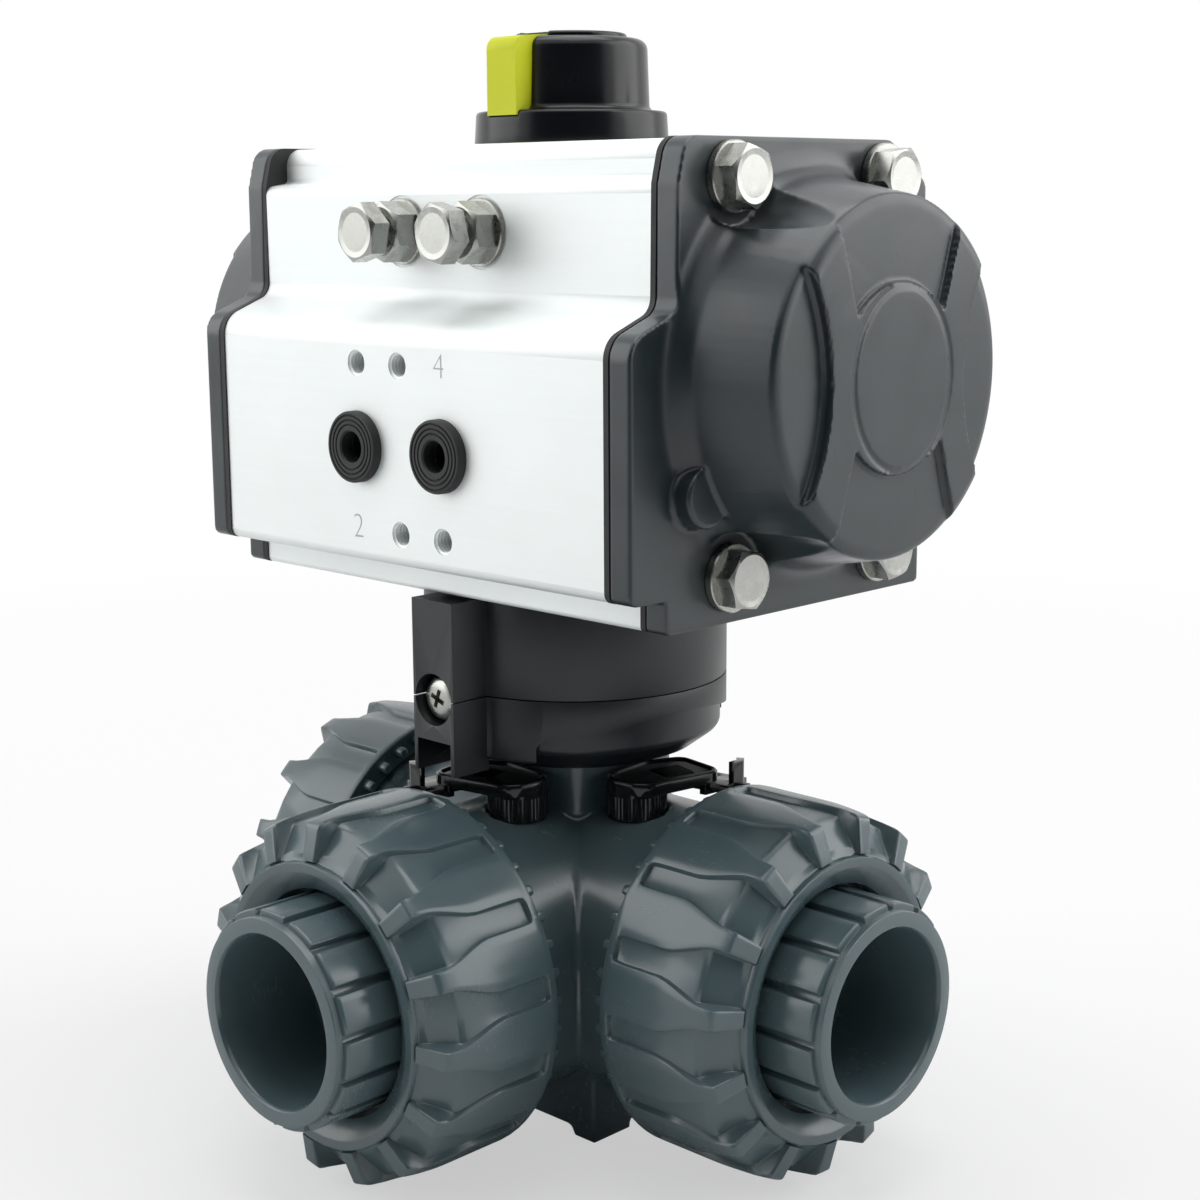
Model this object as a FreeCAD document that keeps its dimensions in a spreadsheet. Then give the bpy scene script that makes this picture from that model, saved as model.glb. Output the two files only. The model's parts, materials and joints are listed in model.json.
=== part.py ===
# Three-way plastic ball valve with union ends, turned by a rack-and-pinion air actuator.
# Frame: millimetres, +Z up, origin on the stem axis at the underside of the valve's foot.
# The run ports point along +X and -X, and the branch port points along -Y.
import FreeCAD, Part
import math
import os
import re
import Sketcher
from FreeCAD import Placement, Rotation, Vector

SIZES = {
    # Valve body: port axes, hubs, male union threads, stem tower and foot
    "axis_height": 39.0,
    "hub_radius": 30.0,
    "hub_reach": 40.0,
    "thread_radius": 31.0,
    "thread_reach": 56.0,
    "cavity_radius": 24.6,
    "tower_half": 15.1,
    "tower_corner": 4.5,
    "tower_rise": 48.0,
    "foot_length": 44.0,
    "foot_width": 36.0,
    "foot_height": 15.0,
    "foot_pad_front": 6.5,
    "foot_pad_side": 11.0,
    "foot_notch_height": 2.0,
    "foot_notch_depth": 4.0,
    "foot_hole_spacing": 25.0,
    "insert_radius": 3.6,
    "insert_length": 9.0,
    "insert_bore": 2.5,
    "insert_sink": 0.2,
    # Ball, stem and seats
    "ball_radius": 20.0,
    "bore_radius": 12.5,
    "slot_width": 5.0,
    "slot_length": 18.0,
    "slot_depth": 4.0,
    "slot_end_gap": 1.0,
    "stem_radius": 8.0,
    "stem_disc_radius": 11.0,
    "stem_disc_bottom": 20.5,
    "stem_disc_height": 3.0,
    "stem_rise": 50.0,
    "tang_height": 10.0,
    "tang_width": 12.0,
    "tang_thickness": 8.0,
    "seal_low_rise": 31.0,
    "seal_high_rise": 38.0,
    "stem_seal_thickness": 1.8,
    "seat_inner": 13.0,
    "seat_outer": 18.0,
    "seat_back": 19.0,
    "seat_lip": 1.0,
    "seat_chamfer": 0.7,
    "seat_spigot": 15.5,
    "spigot_length": 2.0,
    "carrier_nose": 18.5,
    "carrier_land": 0.2,
    "back_seat_wall": 22.5,
    # Union nuts and the end connectors that they hold
    "nut_rear": 41.6,
    "nut_front": 70.6,
    "nut_radius": 36.4,
    "nut_floor_radius": 35.2,
    "nut_edge": 0.4,
    "nut_rim": 2.0,
    "nut_bend": 7.0,
    "nut_shoulder": 64.2,
    "nut_floor_drop": 0.7,
    "nut_floor_round": 2.5,
    "nut_nose_radius": 28.0,
    "nut_nose_height": 1.3,
    "nut_step_radius": 28.3,
    "nut_mouth_radius": 22.4,
    "nut_tip": 0.3,
    "land_root_radius": 26.0,
    "land_shoulder_drop": 0.4,
    "land_drop": 1.1,
    "land_corner_reach": 2.2,
    "land_corner_round": 1.3,
    "land_bend": 7.0,
    "land_bend_round": 8.0,
    "land_half_width": 5.1,
    "land_tip_half_width": 2.1,
    "land_waist": 1.3,
    "land_count": 15,
    "tooth_count": 40,
    "tooth_width": 2.4,
    "tooth_length": 2.4,
    "tooth_inner": 33.0,
    "tooth_outer": 35.2,
    "flange_radius": 29.5,
    "flange_thickness": 5.2,
    "sleeve_radius": 21.2,
    "sleeve_floor_radius": 20.3,
    "sleeve_groove_width": 1.7,
    "sleeve_groove_count": 15,
    "sleeve_rim": 1.5,
    "connector_edge": 0.4,
    "socket_radius": 16.6,
    "socket_floor": 59.5,
    "socket_lead": 1.2,
    "socket_mouth_radius": 17.2,
    "port_reach": 81.5,
    "end_seal_thickness": 2.8,
    "end_seal_radius": 20.0,
    "carrier_seal_thickness": 2.3,
    "carrier_seal_place": 45.0,
    # Nut lock levers
    "pivot_reach": 22.5,
    "pivot_offset": 5.5,
    "lever_seat": 28.1,
    "drum_radius": 6.0,
    "drum_height": 6.0,
    "drum_roof": 0.6,
    "pin_radius": 2.5,
    "pin_length": 6.0,
    "lever_thickness": 2.2,
    "lever_throw": 10.0,
    "lever_corner": 5.6,
    "lever_elbow": 8.0,
    "lever_elbow_round": 4.0,
    "lever_side_across": 12.4,
    "lever_side_along": 13.0,
    "lever_tip_across": 0.2,
    "lever_tip_along": 17.5,
    "lever_tip_round": 3.0,
    "lever_back_across": 5.4,
    "lever_back_along": 10.0,
    "thumb_inner": 9.6,
    "thumb_outer": 11.0,
    "thumb_low": 8.5,
    "thumb_high": 14.1,
    "thumb_side_across": 12.2,
    "thumb_side_along": 12.7,
    "thumb_tip_across": 8.5,
    "thumb_drop": 2.2,
    "thumb_height": 2.4,
    "pawl_width": 1.2,
    "pawl_depth": 0.8,
    "pawl_angle": 16.5,
    "pawl_length": 4.0,
    "pawl_height": 2.2,
    "pawl_sink": 1.1,
    "arm_width": 7.5,
    "arm_offset": 5.0,
    "arm_lift": 0.9,
    "arm_gap": 2.0,
    "hook_height": 5.8,
    "hook_root": 3.6,
    "hook_front": 1.5,
    "hook_back": 4.1,
    "hook_half": 2.5,
    "hook_hollow": 0.6,
    # Mounting module between valve and actuator
    "module_radius": 31.3,
    "relief_radius": 30.0,
    "parting_rise": 54.3,
    "parting_gap": 0.25,
    "module_low_rise": 41.5,
    "module_neck_radius": 21.5,
    "module_neck_rise": 38.4,
    "neck_flare": 3.5,
    "neck_flare_rise": 1.4,
    "cone_rise": 5.1,
    "cone_round": 2.0,
    "skirt_depth": 6.0,
    "skirt_edge": 0.8,
    "arch_crown_rise": 51.0,
    "arch_end_rise": 46.6,
    "arch_half_width": 27.0,
    "arch_start": 12.0,
    "arch_shoulder_round": 2.5,
    "arch_crown_round": 60.0,
    "ear_half_width": 5.8,
    "ear_reach": 39.5,
    "ear_root": 4.0,
    "ear_top_rise": 74.0,
    "ear_low_rise": 46.0,
    "ear_rail": 1.0,
    "ear_rail_rise": 39.5,
    "lock_screw_hole": 5.2,
    "lock_screw_head": 4.4,
    "lock_screw_head_height": 3.0,
    "lock_screw_shank": 2.4,
    "lock_screw_length": 14.0,
    "lock_screw_sink": 1.0,
    "lock_screw_crown": 1.8,
    "lock_screw_point": 1.5,
    "module_cavity_radius": 16.0,
    "module_plate": 7.0,
    "flange_circle_radius": 21.0,
    "flange_screw_radius": 2.5,
    "flange_screw_head": 4.25,
    "flange_screw_head_height": 5.0,
    "flange_screw_reach": 8.0,
    "flange_key": 4.0,
    "flange_key_depth": 2.5,
    "coupling_radius": 10.5,
    "coupling_square": 13.9,
    "coupling_square_length": 12.0,
    # Actuator body: extruded profile, heights measured from its underside
    "actuator_rise": 75.2,
    "body_half_length": 54.0,
    "body_height": 85.3,
    "base_half_width": 37.6,
    "base_height": 6.2,
    "base_round": 1.0,
    "bulge_width": 46.7,
    "bulge_foot_round": 2.0,
    "bulge_top": 51.5,
    "bulge_round": 5.0,
    "shelf_top": 56.0,
    "shelf_round": 3.5,
    "upper_front": 35.0,
    "back_width": 36.0,
    "upper_height": 77.6,
    "upper_round": 2.0,
    "roof_half_width": 29.5,
    "roof_step": 0.8,
    "roof_step_round": 1.0,
    "roof_round": 3.5,
    "bore_height": 43.5,
    "cylinder_radius": 31.5,
    "port_spacing": 24.0,
    "port_height": 28.5,
    "port_hole_radius": 3.0,
    "port_hole_depth": 11.0,
    "port_ring_radius": 6.9,
    "port_ring_height": 2.0,
    "port_seat_depth": 1.0,
    "pilot_spacing": 32.0,
    "pilot_radius": 2.5,
    "pilot_depth": 9.0,
    "top_hole_length": 80.0,
    "top_hole_width": 30.0,
    "top_hole_depth": 8.0,
    # Actuator drive: pinion, racks, pistons and stop cam
    "tooth_module": 1.5,
    "pinion_teeth": 14,
    "pressure_angle": 20.0,
    "tooth_addendum": 0.8,
    "tooth_dedendum": 1.15,
    "tooth_backlash": 0.16,
    "rack_half_height": 9.0,
    "rack_tooth_sets": 6,
    "piston_radius": 31.35,
    "piston_inner_face": 25.0,
    "piston_thickness": 11.0,
    "piston_edge": 0.6,
    "piston_dish_radius": 22.0,
    "piston_dish_slope": 2.0,
    "piston_dish_depth": 3.0,
    "arm_end": 23.5,
    "arm_back_radius": 31.0,
    "pad_radius": 31.44,
    "pad_half_height": 5.0,
    "pad_length": 34.0,
    "pad_thickness": 1.2,
    "piston_seal_thickness": 2.6,
    "piston_seal_place": 32.0,
    "pinion_low_radius": 11.5,
    "pinion_shaft_radius": 9.0,
    "pinion_socket_half": 7.0,
    "pinion_socket_depth": 13.0,
    "pinion_proud": 10.7,
    "pinion_relief": 0.6,
    "pinion_relief_room": 2.0,
    "pinion_end_edge": 0.8,
    "cam_radius": 16.0,
    "cam_hub_radius": 9.9,
    "cam_flat": 6.0,
    "cam_thickness": 6.0,
    "cam_room_radius": 17.2,
    "cam_side_room": 0.5,
    "circlip_groove": 0.8,
    "circlip_mouth": 3.0,
    "circlip_thickness": 1.0,
    "circlip_radius": 11.5,
    "thrust_washer_radius": 12.6,
    "thrust_washer_thickness": 1.0,
    # Travel stop screws
    "stop_spacing": 22.2,
    "stop_height": 69.0,
    "stop_screw_radius": 2.95,
    "stop_head_across": 10.0,
    "stop_head_height": 4.0,
    "stop_head_reach": 47.0,
    "stop_nut_height": 5.0,
    "stop_washer_radius": 6.3,
    "stop_washer_thickness": 1.2,
    "stop_seat_radius": 6.85,
    "stop_seat_depth": 0.3,
    "stop_gap": 0.1,
    "stop_head_turn": 15.0,
    "stop_nut_turn": 4.0,
    # End caps with their gaskets and screws
    "gasket_thickness": 1.2,
    "cap_plate": 5.0,
    "cap_inset": 0.3,
    "cap_top": 85.5,
    "cap_top_inset": 5.0,
    "cap_top_round": 4.0,
    "cap_front_inset": 2.0,
    "cap_side_round": 3.0,
    "dome_base_radius": 36.0,
    "dome_fillet": 5.0,
    "dome_tip_radius": 32.0,
    "dome_reach": 81.5,
    "dome_edge": 3.0,
    "dome_inner_radius": 28.5,
    "dome_inner_draft": 1.0,
    "dome_inner_round": 2.0,
    "dome_wall": 4.0,
    "cap_screw_y": 21.6,
    "cap_screw_z": 35.1,
    "cap_screw_radius": 3.0,
    "cap_screw_across": 10.0,
    "cap_screw_head": 4.0,
    "cap_screw_length": 18.0,
    "cap_thread_depth": 13.0,
    "cap_screw_hole_gap": 0.3,
    "cap_screw_first_turn": 17.0,
    "cap_screw_turn_step": 23.0,
    "cap_washer_radius": 6.3,
    "cap_washer_thickness": 1.6,
    "scallop_radius": 8.8,
    "lens_depth": 2.1,
    "lens_arc_radius": 38.0,
    "lens_inner": 19.3,
    "relief_rim_room": 2.3,
    "relief_rim_round": 4.0,
    "notch_depth": 1.3,
    "notch_inner_radius": 17.0,
    "notch_low_half": 12.4,
    "notch_low_rise": 11.0,
    "notch_high_half": 19.6,
    "notch_high_rise": 34.0,
    "air_boss_radius": 5.5,
    "air_boss_across": 31.0,
    "air_boss_drop": 19.5,
    "air_boss_proud": 4.0,
    # Position indicator
    "indicator_base_radius": 19.3,
    "indicator_base_height": 6.2,
    "indicator_base_taper": 0.4,
    "indicator_base_edge": 0.8,
    "indicator_lift": 0.3,
    "indicator_room_height": 2.8,
    "indicator_cap_radius": 15.5,
    "indicator_cap_height": 13.9,
    "indicator_cap_taper": 0.5,
    "indicator_edge": 2.2,
    "indicator_disc_radius": 11.0,
    "indicator_disc_height": 1.1,
    "indicator_disc_edge": 0.6,
    "disc_groove_width": 1.4,
    "disc_groove_depth": 0.8,
    "flag_half_width": 4.0,
    "flag_reach": 19.0,
    "flag_inner": 8.0,
    "flag_lift": 0.6,
    "flag_seat": 1.0,
    "flag_tip_drop": 0.2,
    "flag_round": 2.6,
    # Clearances
    "running_gap": 0.05,
    "seat_gap": 0.06,
    "thread_gap": 0.08,
    "fixed_gap": 0.02,
    "seal_ease": 0.12,
    "seal_side_room": 0.2,
    "loose_gap": 0.2,
    "face_gap": 0.3,
}

SIZE_NAME = re.compile(r"\b([a-z][a-z0-9]*(?:_[a-z0-9]+)+)\b")

# How a piece made along its own +Z axis is turned to point another way
TURNS = {
    "+z": Rotation(),
    "-z": Rotation(Vector(1, 0, 0), 180),
    "+x": Rotation(Vector(0, 1, 0), 90),
    "-x": Rotation(Vector(0, 1, 0), -90),
    "+y": Rotation(Vector(1, 0, 0), -90),
    "-y": Rotation(Vector(1, 0, 0), 90),
}

# Name, direction and turn of the nut's ribs about its own axis, for each port
PORTS = (("right", "+x", -3.0), ("left", "-x", 3.0), ("branch", "-y", -51.0))

CENTRE = ("0", "0", "axis_height")
PORT_START = {"+x": ("{}", "0", "axis_height"), "-x": ("-({})", "0", "axis_height"),
              "-y": ("0", "-({})", "axis_height")}

document = FreeCAD.newDocument("ThreeWayValve")
sheet = document.addObject("Spreadsheet::Sheet", "Sizes")
for row, (alias, amount) in enumerate(SIZES.items(), start=1):
    sheet.set(f"A{row}", alias.replace("_", " "))
    sheet.set(f"B{row}", str(amount))
    sheet.setAlias(f"B{row}", alias)
document.recompute()

nodes = []


# Expressions and placing

def linked(expression):
    """The expression with each size name pointing to its cell."""
    return SIZE_NAME.sub(r"Sizes.\1", str(expression))


def amount_of(expression):
    """The number that an expression of sizes gives now."""
    return float(sheet.evalExpression(linked(expression)))


def bind(item, **expressions):
    """Tie properties of an object to expressions of the sizes."""
    for name, expression in expressions.items():
        item.setExpression(name, linked(expression))
    return item


def placed(item, at=("0", "0", "0"), along="+z", spin=0.0):
    """Turn an object to point along a direction, with its start at a point."""
    item.Placement = Placement(Vector(), TURNS[along] * Rotation(Vector(0, 0, 1), spin))
    for axis, expression in zip("xyz", at):
        item.setExpression(f"Placement.Base.{axis}", linked(expression))
    return item


def port_point(along, reach):
    """The point on a port's axis at a distance from the valve's centre."""
    return tuple(place.format(reach) for place in PORT_START[along])


def keep(label, item):
    """Register a finished piece under its node name."""
    item.Label = label
    nodes.append(item)
    return item


# Primitives and booleans: tools that open a face start 1 mm before it and end 1 mm past it

def cylinder(name, radius, length, at=("0", "0", "0"), along="+z", spin=0.0):
    item = document.addObject("Part::Cylinder", name)
    return placed(bind(item, Radius=radius, Height=length), at, along, spin)


def box(name, corner, size):
    item = document.addObject("Part::Box", name)
    return placed(bind(item, Length=size[0], Width=size[1], Height=size[2]), corner)


def hexagon(name, across, length, at, along, spin=0.0):
    item = document.addObject("Part::Prism", name)
    item.Polygon = 6
    return placed(bind(item, Circumradius=f"{across} / sqrt(3)", Height=length), at, along, spin)


def ring(name, radius, thickness, at, along="+z"):
    """A round-section seal ring of a given centre-line radius."""
    item = document.addObject("Part::Torus", name)
    return placed(bind(item, Radius1=radius, Radius2=f"({thickness}) / 2"), at, along)


def joined(name, *pieces):
    item = document.addObject("Part::MultiFuse", name)
    item.Shapes = list(pieces)
    return item


def group(name, *pieces):
    item = document.addObject("Part::Compound", name)
    item.Links = list(pieces)
    return item


def cut(name, base, *tools):
    item = document.addObject("Part::Cut", name)
    item.Base = base
    item.Tool = tools[0] if len(tools) == 1 else joined(name + "Tools", *tools)
    return item


def shared(name, first, second):
    item = document.addObject("Part::Common", name)
    item.Base = first
    item.Tool = second
    return item


def mirrored(name, source, normal):
    item = document.addObject("Part::Mirroring", name)
    item.Source = source
    item.Base = Vector()
    item.Normal = normal
    return item


# Sketches: each corner is (x, y) or (x, y, rounding), every value an expression

def origin_item(body, role):
    return next(item for item in body.Origin.OriginFeatures if item.Role == role)


def sketch_on(body, role, name, offset="0"):
    sketch = body.newObject("Sketcher::SketchObject", name)
    sketch.AttachmentSupport = [(origin_item(body, role), "")]
    sketch.MapMode = "FlatFace"
    sketch.setExpression("AttachmentOffset.Base.z", linked(offset))
    return sketch


def rounded_corner(spot, before, after, radius):
    """Centre, start, end and turning side of the arc that rounds a corner."""
    inward = (before - spot).normalize()
    outward = (after - spot).normalize()
    half_angle = inward.getAngle(outward) / 2
    reach = radius / math.tan(half_angle)
    centre = spot + (inward + outward).normalize() * (radius / math.sin(half_angle))
    turns_left = inward.cross(outward).z < 0
    return centre, spot + inward * reach, spot + outward * reach, turns_left


def fix_point(sketch, geometry, end, corner, spot):
    """Hold a point of the sketch at its two bound coordinates."""
    for kind, number, expression in (("DistanceX", spot.x, corner[0]), ("DistanceY", spot.y, corner[1])):
        index = sketch.addConstraint(Sketcher.Constraint(kind, -1, 1, geometry, end, number))
        sketch.setExpression(f"Constraints[{index}]", linked(expression))


def draw_outline(sketch, corners):
    """Closed outline of straight lines, with the named corners rounded."""
    spots = [Vector(amount_of(corner[0]), amount_of(corner[1]), 0) for corner in corners]
    radii = [amount_of(corner[2]) if len(corner) > 2 else 0.0 for corner in corners]
    count = len(corners)
    rounds = {}
    starts, ends = list(spots), list(spots)
    for index, radius in enumerate(radii):
        if radius:
            rounds[index] = rounded_corner(spots[index], spots[index - 1],
                                           spots[(index + 1) % count], radius)
            ends[index], starts[index] = rounds[index][1], rounds[index][2]
    lines = [sketch.addGeometry(Part.LineSegment(starts[index], ends[(index + 1) % count]))
             for index in range(count)]
    for index, corner in enumerate(corners):
        before, after = lines[index - 1], lines[index]
        if index not in rounds:
            sketch.addConstraint(Sketcher.Constraint("Coincident", before, 2, after, 1))
            fix_point(sketch, after, 1, corner, spots[index])
            continue
        centre, first, last, turns_left = rounds[index]
        low, high = (first, last) if turns_left else (last, first)
        start_angle = math.atan2(low.y - centre.y, low.x - centre.x)
        end_angle = math.atan2(high.y - centre.y, high.x - centre.x)
        if end_angle < start_angle:
            end_angle += 2 * math.pi
        circle = Part.Circle(centre, Vector(0, 0, 1), radii[index])
        arc = sketch.addGeometry(Part.ArcOfCircle(circle, start_angle, end_angle))
        sketch.addConstraint(Sketcher.Constraint("Tangent", before, 2, arc, 1 if turns_left else 2))
        sketch.addConstraint(Sketcher.Constraint("Tangent", after, 1, arc, 2 if turns_left else 1))
        size = sketch.addConstraint(Sketcher.Constraint("Radius", arc, radii[index]))
        sketch.setExpression(f"Constraints[{size}]", linked(corner[2]))
        peak = sketch.addGeometry(Part.Point(spots[index]), True)
        sketch.addConstraint(Sketcher.Constraint("PointOnObject", peak, 1, before))
        sketch.addConstraint(Sketcher.Constraint("PointOnObject", peak, 1, after))
        fix_point(sketch, peak, 1, corner, spots[index])
    return sketch


# Bodies made from sketches

def turned(name, corners, at=CENTRE, along="+z", spin=0.0):
    """A body of revolution: corners are (radius, distance along the axis)."""
    body = document.addObject("PartDesign::Body", name)
    sketch = draw_outline(sketch_on(body, "XZ_Plane", name + "Section"), corners)
    revolve = body.newObject("PartDesign::Revolution", name + "Revolve")
    revolve.Profile = sketch
    revolve.ReferenceAxis = (sketch, ["V_Axis"])
    revolve.Angle = 360
    return placed(body, at, along, spin)


def padded(name, plane, corners, length, start="0", at=("0", "0", "0")):
    """A straight extrusion of an outline along its plane's own normal."""
    body = document.addObject("PartDesign::Body", name)
    sketch = draw_outline(sketch_on(body, plane, name + "Outline", start), corners)
    pad = body.newObject("PartDesign::Pad", name + "Pad")
    pad.Profile = sketch
    bind(pad, Length=length)
    return placed(body, at)


def patterned(body, feature, count):
    """Repeat a body's feature evenly round its own axis."""
    pattern = body.newObject("PartDesign::PolarPattern", feature.Name + "Ring")
    pattern.Originals = [feature]
    pattern.Axis = (origin_item(body, "Z_Axis"), [""])
    pattern.Angle = 360
    bind(pattern, Occurrences=count)
    body.Tip = pattern
    return pattern


def rectangle(left, right, low, high):
    return ((left, low), (right, low), (right, high), (left, high))


# Valve body

# Turn that puts the run cavity's seam line at the back, away from where the branch meets it
SEAM_TO_BACK = 90


def lever_pivot(along):
    """Where a port's lock lever turns, on the side of the port nearest its neighbour."""
    return {
        "+x": ("pivot_reach", "-pivot_offset"),
        "-x": ("-pivot_reach", "-pivot_offset"),
        "-y": ("pivot_offset", "-pivot_reach"),
    }[along]


def make_valve_body():
    hubs = [
        cylinder("RunHub", "hub_radius", "2 * hub_reach", ("-hub_reach", "0", "axis_height"), "+x"),
        cylinder("BranchHub", "hub_radius", "hub_reach", CENTRE, "-y"),
    ]
    threads = [cylinder("UnionThread", "thread_radius", "thread_reach - hub_reach",
                        port_point(along, "hub_reach"), along) for _, along, _ in PORTS]
    tower = padded("Tower", "XY_Plane", (
        ("-tower_half", "-tower_half", "tower_corner"), ("tower_half", "-tower_half", "tower_corner"),
        ("tower_half", "tower_half", "tower_corner"), ("-tower_half", "tower_half", "tower_corner"),
    ), "tower_rise", "axis_height")
    foot = box("Foot", ("-foot_length / 2", "-foot_width / 2", "0"),
               ("foot_length", "foot_width", "foot_height"))
    solid = joined("ValveShell", *hubs, *threads, tower, foot)

    hollows = [
        cylinder("RunCavity", "cavity_radius", "2 * thread_reach + 2",
                 ("-thread_reach - 1", "0", "axis_height"), "+x", SEAM_TO_BACK),
        cylinder("BranchCavity", "cavity_radius", "thread_reach + 1", CENTRE, "-y"),
        cylinder("BackSeatPocket", "seat_outer + fixed_gap", "back_seat_wall", CENTRE, "+y"),
        cylinder("StemDiscRoom", "stem_disc_radius + running_gap",
                 "stem_disc_bottom + stem_disc_height + running_gap", CENTRE),
        cylinder("StemHole", "stem_radius + running_gap", "tower_rise + 1", CENTRE),
    ]
    for side in ("-foot_width / 2 - 1", "foot_width / 2 - foot_notch_depth"):
        hollows.append(box("FootNotchFront", ("-foot_length / 2 + foot_pad_front", side, "-1"),
                           ("foot_length - 2 * foot_pad_front", "foot_notch_depth + 1",
                            "foot_notch_height + 1")))
    for side in ("-foot_length / 2 - 1", "foot_length / 2 - foot_notch_depth"):
        hollows.append(box("FootNotchSide", (side, "-foot_width / 2 + foot_pad_side", "-1"),
                           ("foot_notch_depth + 1", "foot_width - 2 * foot_pad_side",
                            "foot_notch_height + 1")))
    for sign in ("-", ""):
        hollows.append(cylinder("InsertHole", "insert_radius", "insert_length + 1",
                                (f"{sign}foot_hole_spacing / 2", "0", "0")))
    for _, along, _ in PORTS:
        pivot = lever_pivot(along)
        hollows.append(cylinder("LeverSeat", "drum_radius + face_gap", "tower_rise - lever_seat",
                                (*pivot, "axis_height + lever_seat")))
    shell = cut("ValveShellOpen", solid, *hollows)
    pins = [cylinder("LeverPin", "pin_radius", "pin_length",
                     (*lever_pivot(along), "axis_height + lever_seat - 1")) for _, along, _ in PORTS]
    return keep("valve_body", joined("ValveBody", shell, *pins))


def make_foot_inserts():
    sleeves = []
    for sign in ("-", ""):
        at = (f"{sign}foot_hole_spacing / 2", "0", "insert_sink")
        sleeves.append(cut("Insert", cylinder("InsertSleeve", "insert_radius - fixed_gap",
                                              "insert_length - insert_sink", at),
                           cylinder("InsertThread", "insert_bore", "insert_length", at)))
    return keep("foot_threaded_inserts", group("FootInserts", *sleeves))


# Ball, stem and seats

def make_ball():
    sphere = document.addObject("Part::Sphere", "BallSphere")
    placed(bind(sphere, Radius="ball_radius"), CENTRE)
    return keep("ball", cut("Ball", sphere,
                            cylinder("BallBoreSide", "bore_radius", "ball_radius + 1", CENTRE, "-x"),
                            cylinder("BallBoreBranch", "bore_radius", "ball_radius + 1", CENTRE, "-y"),
                            box("BallSlot", ("-slot_length / 2", "-slot_width / 2",
                                             "axis_height + ball_radius - slot_depth"),
                                ("slot_length", "slot_width", "slot_depth + 1"))))


def make_stem():
    groove = "(stem_radius - stem_seal_thickness - running_gap)"
    half = "(stem_seal_thickness / 2 + seal_side_room)"
    shaft = turned("StemShaft", (
        ("0", "stem_disc_bottom"), ("stem_disc_radius", "stem_disc_bottom"),
        ("stem_disc_radius", "stem_disc_bottom + stem_disc_height"),
        ("stem_radius", "stem_disc_bottom + stem_disc_height"),
        ("stem_radius", f"seal_low_rise - {half}"), (groove, f"seal_low_rise - {half}"),
        (groove, f"seal_low_rise + {half}"), ("stem_radius", f"seal_low_rise + {half}"),
        ("stem_radius", f"seal_high_rise - {half}"), (groove, f"seal_high_rise - {half}"),
        (groove, f"seal_high_rise + {half}"), ("stem_radius", f"seal_high_rise + {half}"),
        ("stem_radius", "stem_rise"), ("0", "stem_rise"),
    ))
    blade = box("StemBlade", ("-slot_length / 2 + slot_end_gap", "-slot_width / 2 + running_gap",
                              "axis_height + ball_radius - slot_depth + face_gap"),
                ("slot_length - 2 * slot_end_gap", "slot_width - 2 * running_gap",
                 "slot_depth - face_gap + stem_disc_bottom - ball_radius + 1"))
    tang = box("StemTang", ("-tang_width / 2", "-tang_thickness / 2", "axis_height + stem_rise - 1"),
               ("tang_width", "tang_thickness", "tang_height + 1"))
    return keep("valve_stem", joined("Stem", shaft, blade, tang))


def make_stem_seals():
    rings = [ring("StemSeal", "stem_radius - stem_seal_thickness / 2 - running_gap",
                  "stem_seal_thickness", ("0", "0", f"axis_height + {rise}"))
             for rise in ("seal_low_rise", "seal_high_rise")]
    return keep("stem_o_rings", group("StemSeals", *rings))


def seat_contact(radius):
    """How far along the port axis the ball's surface lies at a radius, plus its gap."""
    return f"sqrt((ball_radius + seat_gap) ^ 2 - ({radius}) ^ 2)"


def make_seats():
    lip = "(seat_inner + seat_lip)"
    for name, along, _ in PORTS:
        keep(f"ball_seat_{name}", turned("Seat" + name.title(), (
            ("seat_inner", seat_contact("seat_inner")), (lip, seat_contact(lip)),
            ("seat_outer", "seat_back - seat_chamfer"), ("seat_outer", "seat_back"),
            ("seat_spigot", "seat_back"), ("seat_spigot", "seat_back + spigot_length"),
            ("seat_inner", "seat_back + spigot_length"),
        ), CENTRE, along))
    keep("ball_seat_back", turned("SeatBack", (
        ("seat_inner", seat_contact("seat_inner")), (lip, seat_contact(lip)),
        ("seat_outer", "seat_back - seat_chamfer"), ("seat_outer", "back_seat_wall"),
        ("seat_inner", "back_seat_wall"),
    ), CENTRE, "+y"))


def make_carriers():
    """Threaded rings that hold the seats against the ball."""
    outer = "(cavity_radius - fixed_gap)"
    side_groove = "(cavity_radius - carrier_seal_thickness - 2 * running_gap)"
    side_half = "(carrier_seal_thickness / 2 + seal_side_room)"
    face_half = "(end_seal_thickness / 2 + seal_side_room)"
    face_floor = "(thread_reach + face_gap - end_seal_thickness)"
    for name, along, _ in PORTS:
        keep(f"seat_carrier_{name}", turned("Carrier" + name.title(), (
            ("bore_radius", "seat_back + spigot_length + fixed_gap"),
            ("seat_spigot + fixed_gap", "seat_back + spigot_length + fixed_gap"),
            ("seat_spigot + fixed_gap", "seat_back"), ("carrier_nose", "seat_back"),
            ("carrier_nose", "seat_back + carrier_land"),
            (outer, f"seat_back + carrier_land + {outer} - carrier_nose"),
            (outer, f"carrier_seal_place - {side_half}"),
            (side_groove, f"carrier_seal_place - {side_half}"),
            (side_groove, f"carrier_seal_place + {side_half}"),
            (outer, f"carrier_seal_place + {side_half}"), (outer, "thread_reach"),
            (f"end_seal_radius + {face_half}", "thread_reach"),
            (f"end_seal_radius + {face_half}", face_floor),
            (f"end_seal_radius - {face_half}", face_floor),
            (f"end_seal_radius - {face_half}", "thread_reach"), ("bore_radius", "thread_reach"),
        ), CENTRE, along))


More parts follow.
